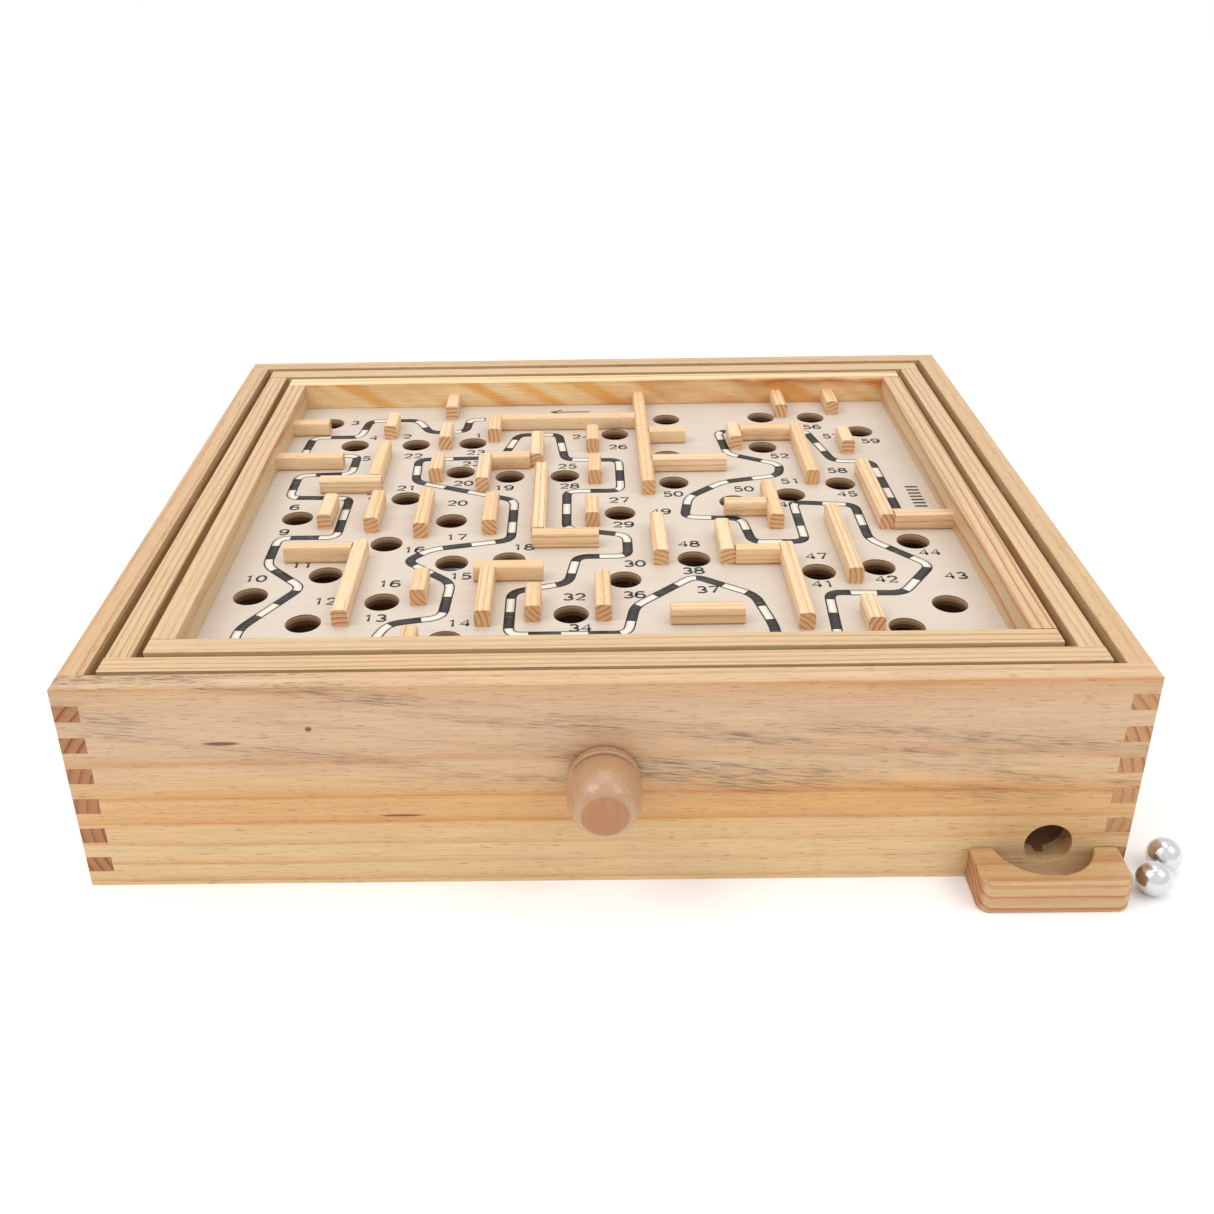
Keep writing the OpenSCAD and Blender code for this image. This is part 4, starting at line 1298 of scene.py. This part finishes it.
# %% Wind the two cords
EYE_RING_OUTER, EYE_INSET = 2.9, 0.6
TO_THE_RIGHT, TO_THE_BACK = Vector((1, 0, 0)), Vector((0, 1, 0))
CORDS = {
    "front_cord": (
        "inner_frame_eyes", "front_shaft", TO_THE_RIGHT, TO_THE_BACK, "outer_frame", "inner_frame",
    ),
    "side_cord": ("outer_frame_eyes", "side_shaft", TO_THE_BACK, TO_THE_RIGHT, "box", "outer_frame"),
}
for name, (eyes, shaft, along, across, start_body, end_body) in CORDS.items():
    low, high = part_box(eyes)
    origin = (low + high) / 2
    origin.z = middle_of(shaft).z
    if name == "front_cord":
        origin.x = middle_of(shaft).x
    eye_rise = low.z / MM + EYE_RING_OUTER - origin.z / MM
    reach = (high - low).dot(along) / 2 / MM - EYE_INSET
    control_cord(name, origin, along, across, eye_rise, reach, start_body, end_body)

# %% [markdown]
# ## The table and the light
# The game stands on a plain pale table. Big soft lamps stand to the left, the right and overhead, as
# in a studio, and a pale world fills the shadows, so the wood shows its true colour.

# %% The table and the lamps
table_mesh = bpy.data.meshes.new("table")
TABLE_HALF = 12.0
table_corners = [(x * TABLE_HALF, y * TABLE_HALF, 0) for x, y in ((-1, -1), (1, -1), (1, 1), (-1, 1))]
table_mesh.from_pydata(table_corners, [], [(0, 1, 2, 3)])
table_finish = plain_finish("table_white", screen(253, 253, 253), 0.0, 0.8, 3.0, 0.02)
table_mesh.materials.append(table_finish)
table = new_piece("table", table_mesh)


def lamp(name, spot, aim, size, power):
    """A square soft lamp that points at a spot."""
    light = bpy.data.lights.new(name, "AREA")
    light.size, light.energy = size, power
    holder = bpy.data.objects.new(name, light)
    holder.location = spot
    holder.rotation_euler = (Vector(aim) - Vector(spot)).to_track_quat("-Z", "Y").to_euler()
    scene_collection.objects.link(holder)


AIM = (0, 0, 0.04)
lamp("left_lamp", (-0.95, -0.4, 1.35), AIM, 0.8, 6.5)
lamp("right_lamp", (0.95, -0.55, 1.25), AIM, 0.8, 4)
lamp("top_lamp", (0.0, 0.35, 1.6), AIM, 1.0, 4)
world = bpy.data.worlds.new("studio")
world.use_nodes = True
world.node_tree.nodes["Background"].inputs["Color"].default_value = (1, 1, 1, 1)
world.node_tree.nodes["Background"].inputs["Strength"].default_value = 1.0
bpy.context.scene.world = world
bpy.context.scene.view_settings.view_transform = "Standard"
print("table and lamps ready")
